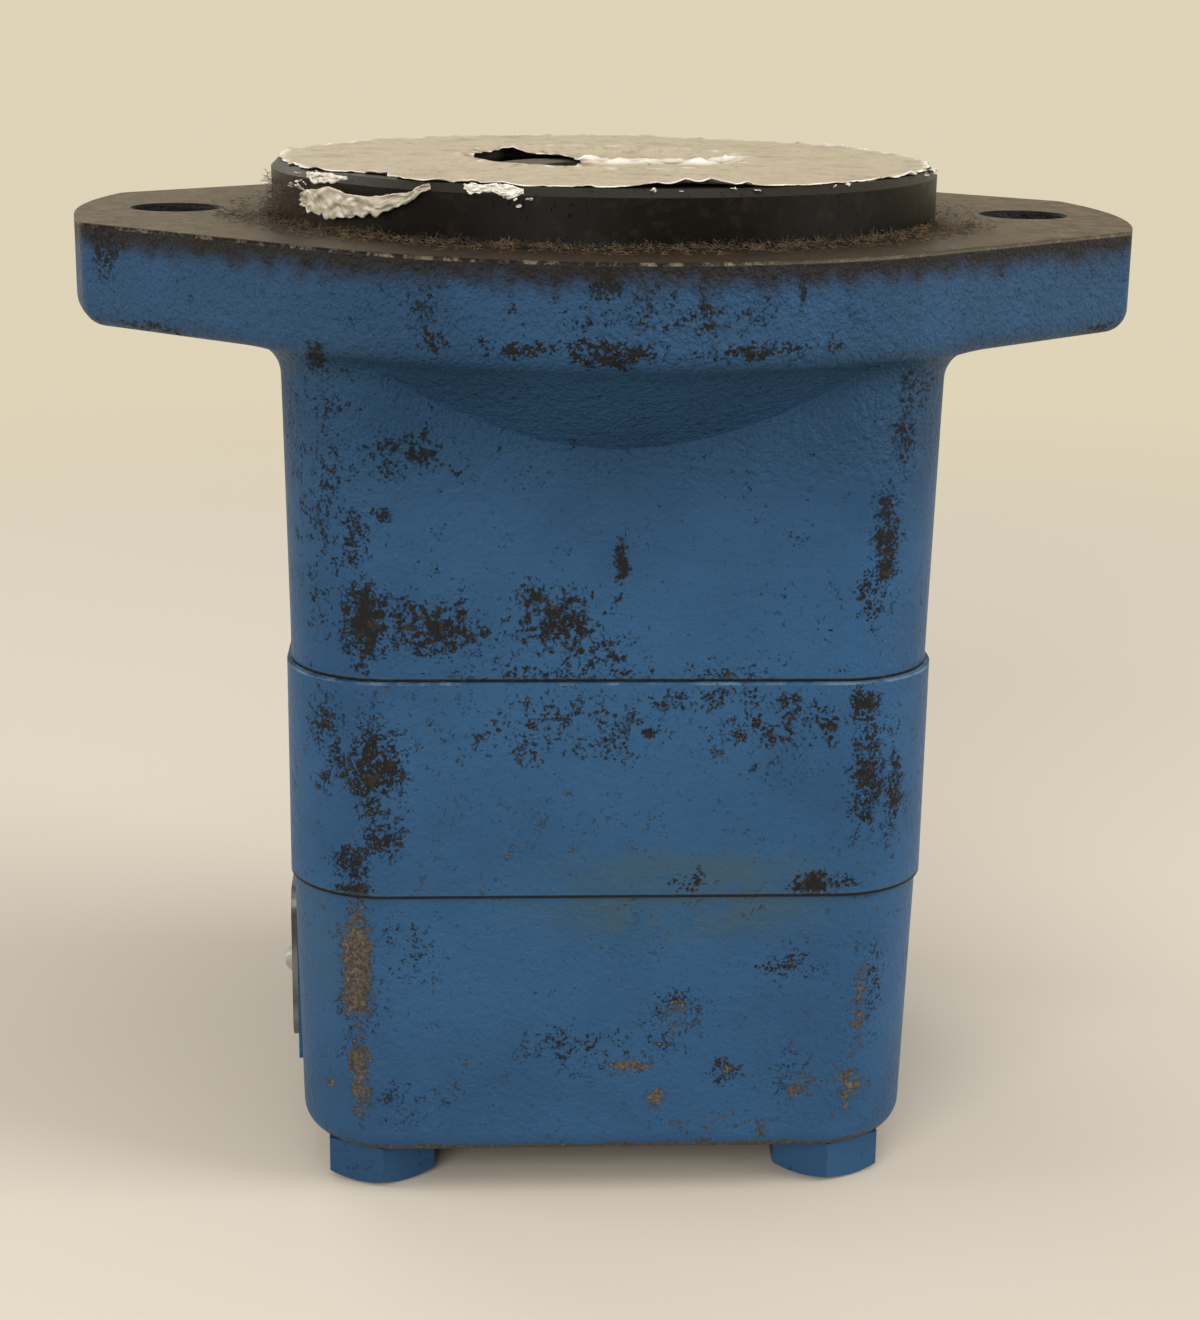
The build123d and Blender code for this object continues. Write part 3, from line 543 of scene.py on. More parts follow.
metals = {
    # clean colour, stained colour, roughness
    "groundSteel": ((0.50, 0.50, 0.51), (0.37, 0.365, 0.355), 0.32),
    "machinedIron": ((0.30, 0.29, 0.28), (0.14, 0.13, 0.12), 0.45),
    "bearingBronze": ((0.55, 0.38, 0.18), (0.30, 0.19, 0.09), 0.38),
    "plateSheet": ((0.20, 0.20, 0.19), (0.06, 0.06, 0.06), 0.42),
    "threadIron": ((0.21, 0.20, 0.185), (0.07, 0.063, 0.054), 0.45),
}

metalMarks = {
    "metallic": 0.9,
    "brushing": (1.0, 0.06, 1.0),
    "marks": (1.6, 5, 0.6),
    "marksShare": 0.35,
    "stains": (0.12, 4, 0.60, 0.40, 0.68),
    "smoother": 0.1,
    "spread": 0.2,
    "relief": 0.03,
}


def plainMetal(name, brushed=False):
    colour, dark, roughness = metals[name]
    material, tree, shader, place = newMaterial(name, metalMarks["metallic"])
    if brushed:
        stretch = tree.nodes.new("ShaderNodeMapping")
        tree.links.new(place, stretch.inputs["Vector"])
        stretch.inputs["Scale"].default_value = metalMarks["brushing"]
        place = stretch.outputs[0]
    marks = grain(tree, place, *metalMarks["marks"])
    shade = blend(tree, patches(tree, place, metalMarks["stains"]), colour, dark)
    shade = blend(tree, times(tree, marks, metalMarks["marksShare"]), shade, dark)
    tree.links.new(shade, shader.inputs["Base Color"])
    spread = times(tree, marks, metalMarks["spread"])
    spread = calc(tree, "ADD", spread, roughness - metalMarks["smoother"])
    tree.links.new(spread, shader.inputs["Roughness"])
    addBump(tree, shader, marks, metalMarks["relief"])
    return material


grease = {
    "steel": (0.46, 0.46, 0.47),
    "stained": (0.24, 0.23, 0.22),
    "dark": (0.040, 0.036, 0.022),
    "pale": (0.066, 0.055, 0.036),
    "gloss": 0.3,
    "marks": (0.7, 5, 0.65),
    "paleMix": (0.42, 0.60),
    "uneven": 2.0,
    "edge": 2.0,
    "metallic": 0.9,
    "roughness": (0.3, 0.3),  # of the clean steel, and how much the grease adds
    "relief": 0.08,
}


def greasySteel(greaseFrom):
    # ground steel whose end, near the opening, is covered in old grease and dirt
    material, tree, shader, place = newMaterial("greasySteel", gloss=grease["gloss"])
    marks = grain(tree, place, *grease["marks"])
    shade = blend(tree, marks, grease["steel"], grease["stained"])
    dirt = blend(tree, rise(tree, marks, *grease["paleMix"]), grease["dark"], grease["pale"])
    level = calc(tree, "ADD", splitPlace(tree, place)["Z"], times(tree, marks, grease["uneven"]))
    cover = rise(tree, level, greaseFrom, greaseFrom + grease["edge"])
    tree.links.new(blend(tree, cover, shade, dirt), shader.inputs["Base Color"])
    clean = calc(tree, "SUBTRACT", 1.0, cover)
    tree.links.new(times(tree, clean, grease["metallic"]), shader.inputs["Metallic"])
    base, added = grease["roughness"]
    tree.links.new(calc(tree, "ADD", times(tree, cover, added), base), shader.inputs["Roughness"])
    addBump(tree, shader, marks, grease["relief"])
    return material


sealRubber = {
    "black": (0.012, 0.012, 0.012),
    "dusty": (0.035, 0.032, 0.028),
    "roughness": 0.62,
    "dust": (0.6, 5, 0.55, 0.5, 0.8),
    "skin": (2.0, 3),
    "relief": 0.03,
}


def rubber():
    material, tree, shader, place = newMaterial("sealRubber", roughness=sealRubber["roughness"])
    dust = patches(tree, place, sealRubber["dust"])
    shade = blend(tree, dust, sealRubber["black"], sealRubber["dusty"])
    tree.links.new(shade, shader.inputs["Base Color"])
    addBump(tree, shader, grain(tree, place, *sealRubber["skin"]), sealRubber["relief"])
    return material


nodeFinishes = {
    "groundSteel": ("nameplate_screws", "shaft_seal_spring", "bearing_outer_race", "bearing_inner_race",
                    "bearing_rollers", "bearing_circlip", "shaft_circlip", "locating_pins", "rotor",
                    "pressure_plate_spring"),
    "greasySteel": ("drive_shaft", "shaft_seal_case"),
    "machinedIron": ("port_plate", "pressure_plate"),
    "bearingBronze": ("port_plate_bushing", "bearing_cage"),
    "sealRubber": ("shaft_seal_lip", "port_plate_seal", "pressure_plate_seal", "cover_seal"),
}

paintedParts = {
    "ringPeel": 0.55,
    "coverPeel": 0.75,
    "boltPeel": 0.25,
    "boltSoiled": 0.10,
}


def dress(nodeName, material):
    thing = frame["nodes"][nodeName]
    thing.data.materials.clear()
    thing.data.materials.append(material)


def dressCad():
    ringLow, ringHigh = (corner.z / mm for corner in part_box("cam_ring"))
    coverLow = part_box("end_cover")[0].z / mm
    finishes = {name: plainMetal(name) for name in ("groundSteel", "machinedIron", "bearingBronze")}
    finishes["sealRubber"] = rubber()
    finishes["greasySteel"] = greasySteel(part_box("shaft_seal_case")[0].z / mm)
    dress("body_casting", paintedCasting("bodyPaint", bodyChips, bodyRust, mountingFace=True,
                                         jointAt=ringHigh, port=mounts["inlet_port"]))
    dress("cam_ring", paintedCasting("ringPaint", ringChips, dust=ringDust, peel=paintedParts["ringPeel"],
                                     brightRim=ringHigh, jointAt=ringLow))
    dress("end_cover", paintedCasting("coverPaint", coverChips, coverTan, coverDust,
                                      peel=paintedParts["coverPeel"], rubbedRim=coverLow,
                                      port=mounts["outlet_port"]))
    dress("cover_bolts", paintedCasting("boltPaint", peel=paintedParts["boltPeel"],
                                        darkened=paintedParts["boltSoiled"]))
    dress("nameplate", plainMetal("plateSheet", brushed=True))
    for finish, names in nodeFinishes.items():
        for name in names:
            dress(name, finishes[finish])
    for name in frame["nodes"]:
        if name.startswith("vane_"):
            dress(name, finishes["groundSteel"])
    print("dressed", len(frame["nodes"]), "cad nodes")


def newObject(name, data):
    thing = bpy.data.objects.new(name, data)
    bpy.context.scene.collection.objects.link(thing)
    return thing


def meshObject(name, work, material, wall=None, offset=-1.0):
    # a new piece from its working mesh, with a wall of the given thickness in millimetres
    mesh = bpy.data.meshes.new(name)
    work.to_mesh(mesh)
    work.free()
    thing = newObject(name, mesh)
    mesh.materials.append(material)
    for face in mesh.polygons:
        face.use_smooth = True
    if wall is not None:
        solid = thing.modifiers.new("wall", "SOLIDIFY")
        solid.thickness = wall * mm
        solid.offset = offset
    return thing


portThread = {
    "pitch": {"inlet_port": 2.12, "outlet_port": 1.59},
    "height": 0.34,           # of the pitch
    "flank": 0.44,
    "buried": 0.15,
    "stepsPerTurn": 48,
    "endGap": 1.6,
    "sharpFrom": 40,          # degrees
}


def makePortThreads(material):
    # one tooth wound along each port's bore, a little sunk into its wall
    work = bmesh.new()
    for name, pitch in portThread["pitch"].items():
        middle, sizes = mounts[name]["pos_m"], mounts[name]["dims"]
        level, radius = middle[2] / mm, sizes["r_mm"]
        outer = middle[1] / mm + sizes["length_mm"] / 2 - pitch / 2
        turns = int((sizes["length_mm"] - portThread["endGap"]) / pitch)
        tooth = []
        root, flank = portThread["buried"], portThread["flank"]
        for reach, shift in ((root, -flank), (-portThread["height"] * pitch, 0.0), (root, flank)):
            tooth.append(work.verts.new((radius + reach, outer + shift * pitch, level)))
        work.faces.new(tooth)
        outline = [edge for edge in work.edges if all(vert in tooth for vert in edge.verts)]
        made = bmesh.ops.spin(work, geom=tooth + outline, cent=(0, 0, level), axis=(0, 1, 0),
                              dvec=(0, -pitch / portThread["stepsPerTurn"], 0), angle=2 * math.pi * turns,
                              steps=portThread["stepsPerTurn"] * turns)
        last = [part for part in made["geom_last"] if isinstance(part, bmesh.types.BMEdge)]
        bmesh.ops.contextual_create(work, geom=last)
    bmesh.ops.scale(work, vec=Vector((mm, mm, mm)), verts=work.verts)
    bmesh.ops.recalc_face_normals(work, faces=work.faces)
    thing = meshObject("portThreads", work, material)
    thing.data.set_sharp_from_angle(angle=math.radians(portThread["sharpFrom"]))
    return thing


foil = {
    "reach": 40.25,
    "tornReach": 0.55,        # how far the outer edge wanders
    "furthest": 0.35,
    "edgeWobble": ((3, 1, 0.6), (14, 4, 0.5), (45, 9, 0.3)),
    # angle, half width and depth of each place where the edge is torn away
    "tears": ((-1.38, 0.11, 0.9), (-1.50, 0.03, 0.8), (-2.39, 0.13, 2.8), (-0.75, 0.03, 0.7),
              (-0.45, 0.02, 0.6)),
    "tearRagged": (0.85, 0.30, 30, 13),
    "holeAt": (-9.6, 0.0),
    "holeSize": (6.7, 12.4),
    "holeTear": 0.06,
    "holeWobble": ((2, 21, 1.0), (7, 25, 0.5)),
    "holeLip": 0.30,
    "level": 6.46,
    "creases": ((0.16, 0.16, 3, 0.14), (0.6, 0.35, 8, 0.08)),
    "recess": 17.6,           # the foil sags over the round recess of the shaft seal
    "recessEdge": 3.0,
    "sag": 0.62,
    "ridge": 0.30,
    "ridgeOut": 0.6,
    "ridgeWide": 0.9,
    "tearCrest": 0.85,
    "tearFrom": -2.6,
    "tearTo": 17.0,
    "tearHalf": 1.7,          # the split has a raised lip on each side
    "lipSeeds": ((1, 2), (-1, 7)),
    "lipPace": (0.30, 1.2),
    "lipFine": 0.3,
    "lipBase": 0.52,
    "lipDrift": (0.4, 1.1),
    "crestWide": 0.6,
    "liftAt": -1.38,          # where the edge has lifted off the pilot
    "liftWide": 0.15,
    "lift": 0.85,
    "liftIn": 2.4,
    "liftRagged": (0.75, 0.5, 22, 71),
    "curlUp": 0.35,
    "curlWide": 0.5,
    "curlRagged": (0.0, 1.0, 25, 61),
    "thickness": 0.10,
    "around": 480,
    "rings": 52,
    "marks": {
        # where the bare metal, its painted highlights and the painted shade of the split show: how wide, then
        # how ragged
        "edgeWide": 0.55,
        "edgeRagged": (0.65, 1.0, 12, 41),
        "holeWide": 0.5,
        "holeRagged": (0.40, 1.0, 9, 44),
        "ridgeWide": 0.5,
        "ridgeRagged": (0.0, 1.0, 11, 51),
        "ridgeShare": 0.8,
        "lipWide": 0.65,
        "lipShare": 1.2,
        "sootWide": 1.2,
        "sootPace": 0.3,
        "sootSeeds": (9, 5),
        "sootBase": 0.7,
        "rustOut": 0.3,
        "rustWide": 0.9,
        "rustFront": 2,
        "rustBack": 0.3,
    },
    "finish": {
        "beige": (0.425, 0.362, 0.255),
        "dirty": (0.205, 0.164, 0.110),
        "rust": (0.210, 0.090, 0.045),
        # painted shade of the split
        "soot": (0.060, 0.045, 0.028),
        # bare metal, with painted highlight on crests
        "bright": (0.80, 0.76, 0.69),
        "metallic": 0.15,
        "gloss": 0.35,
        "dirt": ((0.16, 6, 0.72, 0.45, 0.72, 0.65), (0.75, 5, 0.70, 0.46, 0.66, 0.34)),
        "specks": ((1.9, 5, 0.72, 0.63, 0.68, 0.75), (0.62, 5, 0.75, 0.615, 0.655, 0.75)),
        "creases": (1.5, 6, 0.65),
        "relief": 0.10,
    },
}


def foilMaterial():
    look = foil["finish"]
    material, tree, shader, place = newMaterial("maskingFoil", look["metallic"], gloss=look["gloss"])
    shade = look["beige"]
    for stain in look["dirt"]:
        shade = blend(tree, patches(tree, place, stain), shade, look["dirty"])
    specks = calc(tree, "MAXIMUM", *(patches(tree, place, size) for size in look["specks"]))
    shade = blend(tree, specks, shade, paint["grime"])
    # painted shade of the split, rust, and bare metal with painted highlight, as the vertices carry them
    for mark in ("soot", "rust", "bright"):
        layer = tree.nodes.new("ShaderNodeAttribute")
        layer.attribute_name = mark
        shade = blend(tree, layer.outputs["Fac"], shade, look[mark])
    tree.links.new(shade, shader.inputs["Base Color"])
    addBump(tree, shader, grain(tree, place, *look["creases"]), look["relief"])
    return material


waver = 1.8                   # brings the noise to about -1 and 1


def noiseAt(x, y, z):
    return noise.noise(Vector((x, y, z)))


def clip(value):
    return min(max(value, 0.0), 1.0)


def hill(value, middle, width):
    # 1 at the middle and falling off to both sides
    return math.exp(-((value - middle) / width) ** 2)


def wander(angle, pace, seed):
    # a smooth closed wobble round a circle
    return noiseAt(math.cos(angle) * pace, math.sin(angle) * pace, seed) * waver


def ragged(angle, settings):
    base, amount, pace, seed = settings
    return base + amount * wander(angle, pace, seed)


def wobble(angle, layers):
    return sum(amount * wander(angle, pace, seed) for pace, seed, amount in layers)


def foilEdge(angle):
    # the outer edge of the foil, with the places where a piece has torn away
    reach = foil["reach"] + foil["tornReach"] * wobble(angle, foil["edgeWobble"])
    for middle, width, depth in foil["tears"]:
        reach -= depth * math.exp(-((angle - middle) / width) ** 4) * ragged(angle, foil["tearRagged"])
    return min(reach, foil["reach"] + foil["furthest"])


def holeEdge(angle):
    tear = 1 + foil["holeTear"] * wobble(angle, foil["holeWobble"])
    return Vector((foil["holeAt"][0] + foil["holeSize"][0] * math.cos(angle) * tear,
                   foil["holeAt"][1] + foil["holeSize"][1] * math.sin(angle) * tear))


def splitLips(x, y, width):
    # two ragged lips along the split, each with gaps of its own
    if not foil["tearFrom"] < x < foil["tearTo"]:
        return 0.0
    total = 0.0
    (coarse, fine), (driftPace, drift) = foil["lipPace"], foil["lipDrift"]
    for side, seed in foil["lipSeeds"]:
        amount = noiseAt(x * coarse, 4, seed)
        amount += foil["lipFine"] * noiseAt(x * fine, 6, seed)
        middle = side * foil["tearHalf"] + drift * noiseAt(x * driftPace, 0, seed)
        total += max(amount + foil["lipBase"], 0.0) * hill(y, middle, width)
    return total


def foilHeight(flat, angle, fromHole, fromEdge):
    # creases everywhere, a shallow sag over the seal recess and a raised tear across it
    height = 0.0
    for paceX, paceY, seed, depth in foil["creases"]:
        height += noiseAt(flat.x * paceX, flat.y * paceY, seed) * depth
    inside = clip((foil["recess"] - flat.length) / foil["recessEdge"])
    height -= foil["sag"] * inside * inside * (3 - 2 * inside)
    height += foil["ridge"] * hill(flat.length, foil["recess"] + foil["ridgeOut"], foil["ridgeWide"])
    height += foil["tearCrest"] * splitLips(flat.x, flat.y, foil["crestWide"])
    height += math.exp(-fromHole) * foil["holeLip"]
    level = max(foil["level"] + height, foil["level"] - foil["sag"])
    # the outer edge curls up in places, and has come off the pilot in one
    level += hill(fromEdge, 0, foil["curlWide"]) * foil["curlUp"] * max(ragged(angle, foil["curlRagged"]), 0)
    lifted = hill(angle, foil["liftAt"], foil["liftWide"]) * ragged(angle, foil["liftRagged"])
    return level + foil["lift"] * lifted * hill(fromEdge, 0, foil["liftIn"])


def markFoil(flat, angle, fromHole, fromEdge):
    # how much bare metal with painted highlight, painted shade of the split and rust a point of the foil has
    marks = foil["marks"]
    shine = hill(fromEdge, 0, marks["edgeWide"]) * clip(ragged(angle, marks["edgeRagged"]))
    shine = max(shine, hill(fromHole, 0, marks["holeWide"]) * clip(ragged(angle, marks["holeRagged"])))
    # painted highlight along the ridge round the recess
    onRidge = hill(flat.length, foil["recess"] + foil["ridgeOut"], marks["ridgeWide"])
    shine = max(shine, onRidge * max(ragged(angle, marks["ridgeRagged"]), 0) * marks["ridgeShare"])
    soot = 0.0
    if foil["tearFrom"] < flat.x < foil["tearTo"]:
        # painted highlight along the split's lips
        shine = max(shine, splitLips(flat.x, flat.y, marks["lipWide"]) * marks["lipShare"])
        # painted shade in the split between its lips, in patches
        gaps = noiseAt(flat.x * marks["sootPace"], *marks["sootSeeds"])
        soot = hill(flat.y, 0, marks["sootWide"]) * clip(gaps + marks["sootBase"]) * (1 - min(shine, 1))
    rust = hill(fromHole, marks["rustOut"], marks["rustWide"])
    rust *= 1 if flat.y < marks["rustFront"] else marks["rustBack"]
    return {"bright": clip(shine), "soot": soot, "rust": min(rust, 1.0)}


def makeFoil(material):
    work = bmesh.new()
    layers = {name: work.verts.layers.float.new(name) for name in ("bright", "rust", "soot")}
    rows = []
    for number in range(foil["rings"] + 1):
        row = []
        for step in range(foil["around"]):
            turn = math.tau * step / foil["around"]
            angle = math.atan2(math.cos(turn), -math.sin(turn))
            inner, reach = holeEdge(angle), foilEdge(angle)
            outer = Vector((reach * math.cos(angle), reach * math.sin(angle)))
            flat = inner.lerp(outer, number / foil["rings"])
            fromHole, fromEdge = (flat - inner).length, reach - flat.length
            level = foilHeight(flat, angle, fromHole, fromEdge)
            vert = work.verts.new(Vector((flat.x, flat.y, level)) * mm)
            for name, value in markFoil(flat, angle, fromHole, fromEdge).items():
                vert[layers[name]] = value
            row.append(vert)
        rows.append(row)
    for row, beyond in zip(rows, rows[1:]):
        for step in range(foil["around"]):
            work.faces.new((row[step - 1], row[step], beyond[step], beyond[step - 1]))
    bmesh.ops.recalc_face_normals(work, faces=work.faces)
    if sum(face.normal.z for face in work.faces) < 0:
        bmesh.ops.reverse_faces(work, faces=work.faces)
    return meshObject("foilSheet", work, material, foil["thickness"], 1.0)


flaps = {
    "along": 120,
    "across": 14,
    "thickness": 0.14,
    "stand": 41.5,
    "unit": 31,               # degrees over which the crumples below are counted
    # crumples: how many along, how many across, seed, size
    "sway": (7, 2, 5, 0.26),
    "hem": (21, 3, 15, 0.42),
    "hemFade": 1.15,
    "bellyBase": 0.7,
    "bellyRise": 0.5,
    "ripples": (11, 3, 9, 0.50),
    "dents": (26, 7, 19, 0.30),
    "shine": (20, 6, 2, 0.55),
    "edgeShine": 0.22,
    "pieces": (
        # from and to in degrees, how far it bulges, how much bare metal and painted sheen, then (share, lower
        # level, upper level)
        {"from": -152, "to": -121, "bulge": 0.9, "bright": 0.12,
         "levels": ((0.0, 2.3, 3.2), (0.12, 1.7, 4.3), (0.35, 1.5, 4.9), (0.65, 2.2, 4.3),
                    (0.86, 3.8, 5.1), (1.0, 5.8, 6.2))},
        {"from": -115, "to": -105.5, "bulge": 0.35, "bright": 0.75,
         "levels": ((0.0, 6.0, 6.4), (0.15, 5.5, 6.5), (0.5, 5.8, 6.5), (0.8, 5.1, 6.5), (1.0, 5.6, 6.2))},
        {"from": -149, "to": -138, "bulge": 0.30, "bright": 0.55,
         "levels": ((0.0, 5.6, 6.2), (0.3, 5.2, 6.4), (0.7, 5.5, 6.4), (1.0, 6.0, 6.3))},
    ),
}


def levelsAt(levels, share):
    # the lower and upper edge at a share of the way along, between the given stations
    for (begin, lowA, highA), (end, lowB, highB) in zip(levels, levels[1:]):
        if share <= end:
            part = (share - begin) / (end - begin)
            part = part * part * (3 - 2 * part)
            return lowA + (lowB - lowA) * part, highA + (highB - highA) * part
    return levels[-1][1:]


def crumple(run, across, settings, seed):
    paceAlong, paceAcross, ownSeed, size = settings
    return size * noiseAt(run * paceAlong, across * paceAcross, ownSeed + seed)


def makeFlap(material):
    # strips of foil that have come loose and hang down the pilot's side
    work = bmesh.new()
    layer = work.verts.layers.float.new("bright")
    for seed, piece in enumerate(flaps["pieces"]):
        made = bmesh.ops.create_grid(work, x_segments=flaps["along"], y_segments=flaps["across"], size=0.5)
        reach = math.radians(piece["to"] - piece["from"])
        for vert in made["verts"]:
            along, across = vert.co.x + 0.5, vert.co.y + 0.5
            angle = math.radians(piece["from"]) + reach * along
            # the crumples keep the same size on a short strip as on a long one
            run = along * reach / math.radians(flaps["unit"])
            low, high = levelsAt(piece["levels"], along)
            level = low + (high - low) * across + crumple(run, across, flaps["sway"], seed)
            level += crumple(run, across, flaps["hem"], seed) * (flaps["hemFade"] - across)
            belly = math.sin(math.pi * along) * (flaps["bellyBase"] + flaps["bellyRise"] * across)
            stand = flaps["stand"] + piece["bulge"] * (belly + crumple(run, across, flaps["ripples"], seed))
            stand += crumple(run, across, flaps["dents"], seed)
            vert.co = Vector((stand * math.cos(angle), stand * math.sin(angle), level)) * mm
            # painted sheen, brighter towards the strip's edges and on its crumples
            shine = flaps["edgeShine"] * abs(across - 0.5) + crumple(run, across, flaps["shine"], seed)
            vert[layer] = clip(piece["bright"] + shine)
    bmesh.ops.recalc_face_normals(work, faces=work.faces)
    return meshObject("foilFlap", work, material, flaps["thickness"])


shreds = {
    "smallest": 0.30,
    "tilt": 0.55,
    "tone": (0.10, 0.75),
    "segments": (5, 4),
    "curl": (2.5, 0.30),
    "pinch": (3, 0.6),
    "turn": 6.3,
    "topFrom": 5.5,           # clusters above this level lie on the pilot's edge, others on its side
    "onEdge": (40.3, 41.0),
    "onSide": (41.4, 41.9),
    "thickness": 0.08,
    # angle and spread in degrees, how many, lowest and highest level, largest size
    "clusters": (
        (-152, 4, 7, 3.6, 6.3, 1.3),
        (-143, 8, 5, 5.6, 6.4, 0.9),
        (-109, 5, 6, 5.7, 6.4, 1.2),
        (-106, 2, 4, 4.2, 5.4, 0.9),
        (-84, 3, 3, 5.9, 6.4, 0.8),
        (-66, 8, 2, 6.1, 6.4, 0.7),
        (-48, 8, 2, 6.0, 6.4, 0.7),
        (-12, 10, 6, 5.8, 6.4, 1.1),
        (95, 40, 3, 6.1, 6.4, 0.8),
    ),
}


def makeShreds(material):
    # crumpled scraps of foil along the pilot's edge
    work = bmesh.new()
    torn = work.verts.layers.float.new("bright")
    (across, down), (curlPace, curl), (pinchPace, pinch) = shreds["segments"], shreds["curl"], shreds["pinch"]
    for angleMiddle, spread, count, lowest, highest, largest in shreds["clusters"]:
        radii = shreds["onEdge"] if lowest > shreds["topFrom"] else shreds["onSide"]
        for number in range(count):
            angle = math.radians(angleMiddle + random.uniform(-spread, spread))
            size = random.uniform(shreds["smallest"], largest)
            made = bmesh.ops.create_grid(work, x_segments=across, y_segments=down, size=size / 2)["verts"]
            tone = random.uniform(*shreds["tone"])
            for vert in made:
                vert.co.z = curl * size * noiseAt(vert.co.x * curlPace, vert.co.y * curlPace, number)
                vert.co.x *= 1 + pinch * noiseAt(vert.co.y * pinchPace, number, 1)
                vert[torn] = tone
            turn = Euler([random.uniform(-1, 1) * shreds["tilt"], random.uniform(-1, 1) * shreds["tilt"],
                          random.uniform(0, shreds["turn"])])
            radius = random.uniform(*radii)
            seat = Matrix.Translation((radius * math.cos(angle), radius * math.sin(angle),
                                       random.uniform(lowest, highest)))
            seat = Matrix.Scale(mm, 4) @ seat @ turn.to_matrix().to_4x4()
            bmesh.ops.transform(work, matrix=seat, verts=made)
    return meshObject("foilShreds", work, material, shreds["thickness"])


lint = {
    "lying": 4200,
    "standing": 260,
    "thick": 0.028,
    "inner": 41.4,
    "outer": 48.5,
    "top": 4.6,
    "crowding": 2.2,          # the higher, the closer the lying fibres keep to the pilot
    "settling": 1.5,
    "leftSide": (-math.pi, -2.62),
    "frontSide": (-3.0, -0.25),
    "frontShare": 4,          # three in this many lie at the front
    "offWall": 0.3,
    "lyingHeight": (0.05, 0.45),
    "overTop": 0.6,
    "knots": 4,
    "knotSize": (0.5, 1.2),
    "step": (0.15, 0.5),
    "heading": ((-1, 1), (-1, 1), (-0.1, 0.6)),
    "bend": ((-1, 1), (-1, 1), (-0.8, 0.4)),
    "bending": 0.8,
    "roughness": 0.9,
    "tint": (0.5, 3, 0.55, 0.40, 0.62),
    "olive": (0.112, 0.072, 0.031),
    "dark": (0.010, 0.007, 0.004),
}


def fibreMaterial():
    material, tree, shader, place = newMaterial("lint", roughness=lint["roughness"])
    shade = blend(tree, patches(tree, place, lint["tint"]), lint["olive"], lint["dark"])
    tree.links.new(shade, shader.inputs["Base Color"])
    return material


def anyVector(ranges):
    return Vector([random.uniform(*limits) for limits in ranges])


def makeLint(material):
    # dust fibres caught where the pilot meets the flange, and on the pilot's left side
    curve = bpy.data.curves.new("lintFibres", "CURVE")
    curve.dimensions = "3D"
    curve.bevel_depth = lint["thick"] * mm
    curve.bevel_resolution = 0
    curve.resolution_u = 1
    inner, top = lint["inner"], lint["top"]
    lowest = lint["lyingHeight"][0]
    for number in range(lint["lying"] + lint["standing"]):
        standing = number >= lint["lying"]
        angle = random.uniform(-math.pi, math.pi)
        if standing:
            angle = random.uniform(*lint["leftSide"])
        elif number % lint["frontShare"]:
            angle = random.uniform(*lint["frontSide"])
        if standing:
            away = inner + lint["offWall"]
            height = top * random.random() ** lint["settling"]
        else:
            away = inner + (lint["outer"] - inner) * random.random() ** lint["crowding"]
            height = random.uniform(*lint["lyingHeight"])
        point = Vector((away * math.cos(angle), away * math.sin(angle), height))
        heading = anyVector(lint["heading"])
        spline = curve.splines.new("POLY")
        spline.points.add(lint["knots"] - 1)
        for knot in spline.points:
            fromMiddle = math.hypot(point.x, point.y)
            if fromMiddle < inner:
                point = point * (inner / fromMiddle)
            point.z = min(max(point.z, lowest), top + lint["overTop"])
            knot.co = (*(point * mm), 1)
            knot.radius = random.uniform(*lint["knotSize"])
            heading = (heading + anyVector(lint["bend"]) * lint["bending"]).normalized()
            point = point + heading * random.uniform(*lint["step"])
    rough = newObject("lintRough", curve)
    mesh = bpy.data.meshes.new_from_object(rough.evaluated_get(bpy.context.evaluated_depsgraph_get()))
    bpy.data.objects.remove(rough)
    thing = newObject("lintFibres", mesh)
    mesh.materials.clear()
    mesh.materials.append(material)
    return thing


stage = {
    "floor": (0.57, 0.51, 0.42),
    "floorRoughness": 0.8,
    "span": 6.0,
    "fadeFrom": 0.26,         # from here outwards the floor turns into the room's own colour
    "fadeTo": 0.56,
    "roomLight": (1.0, 0.97, 0.92),
    "roomStrength": 0.30,
    "roomSeen": (0.735, 0.655, 0.480),
    "aim": (0, 0, -0.05),
    # place, size and power of each soft lamp
    "lamps": {
        "ceilingPanel": ((0.10, -0.25, 0.95), 0.8, 3.6),
        "frontFill": ((-0.45, -1.15, 0.42), 0.8, 13.0),
        "rightFill": ((1.25, -0.35, 0.50), 0.7, 17.0),
        "leftFill": ((-1.30, 0.05, 0.55), 0.7, 6.8),
        "backFill": ((-0.50, 0.75, 0.60), 0.6, 2.4),
    },
}


def seenRays(tree):
    # 1 for the rays of the camera and of reflections, 0 for those that light the pump
    rays = tree.nodes.new("ShaderNodeLightPath")
    shown = calc(tree, "MAXIMUM", rays.outputs["Is Camera Ray"], rays.outputs["Is Glossy Ray"])
    return calc(tree, "MAXIMUM", shown, rays.outputs["Is Transmission Ray"])


def mixShaders(tree, factor, first, second, target):
    both = tree.nodes.new("ShaderNodeMixShader")
    tree.links.new(factor, both.inputs[0])
    tree.links.new(first.outputs[0], both.inputs[1])
    tree.links.new(second.outputs[0], both.inputs[2])
    tree.links.new(both.outputs[0], target)


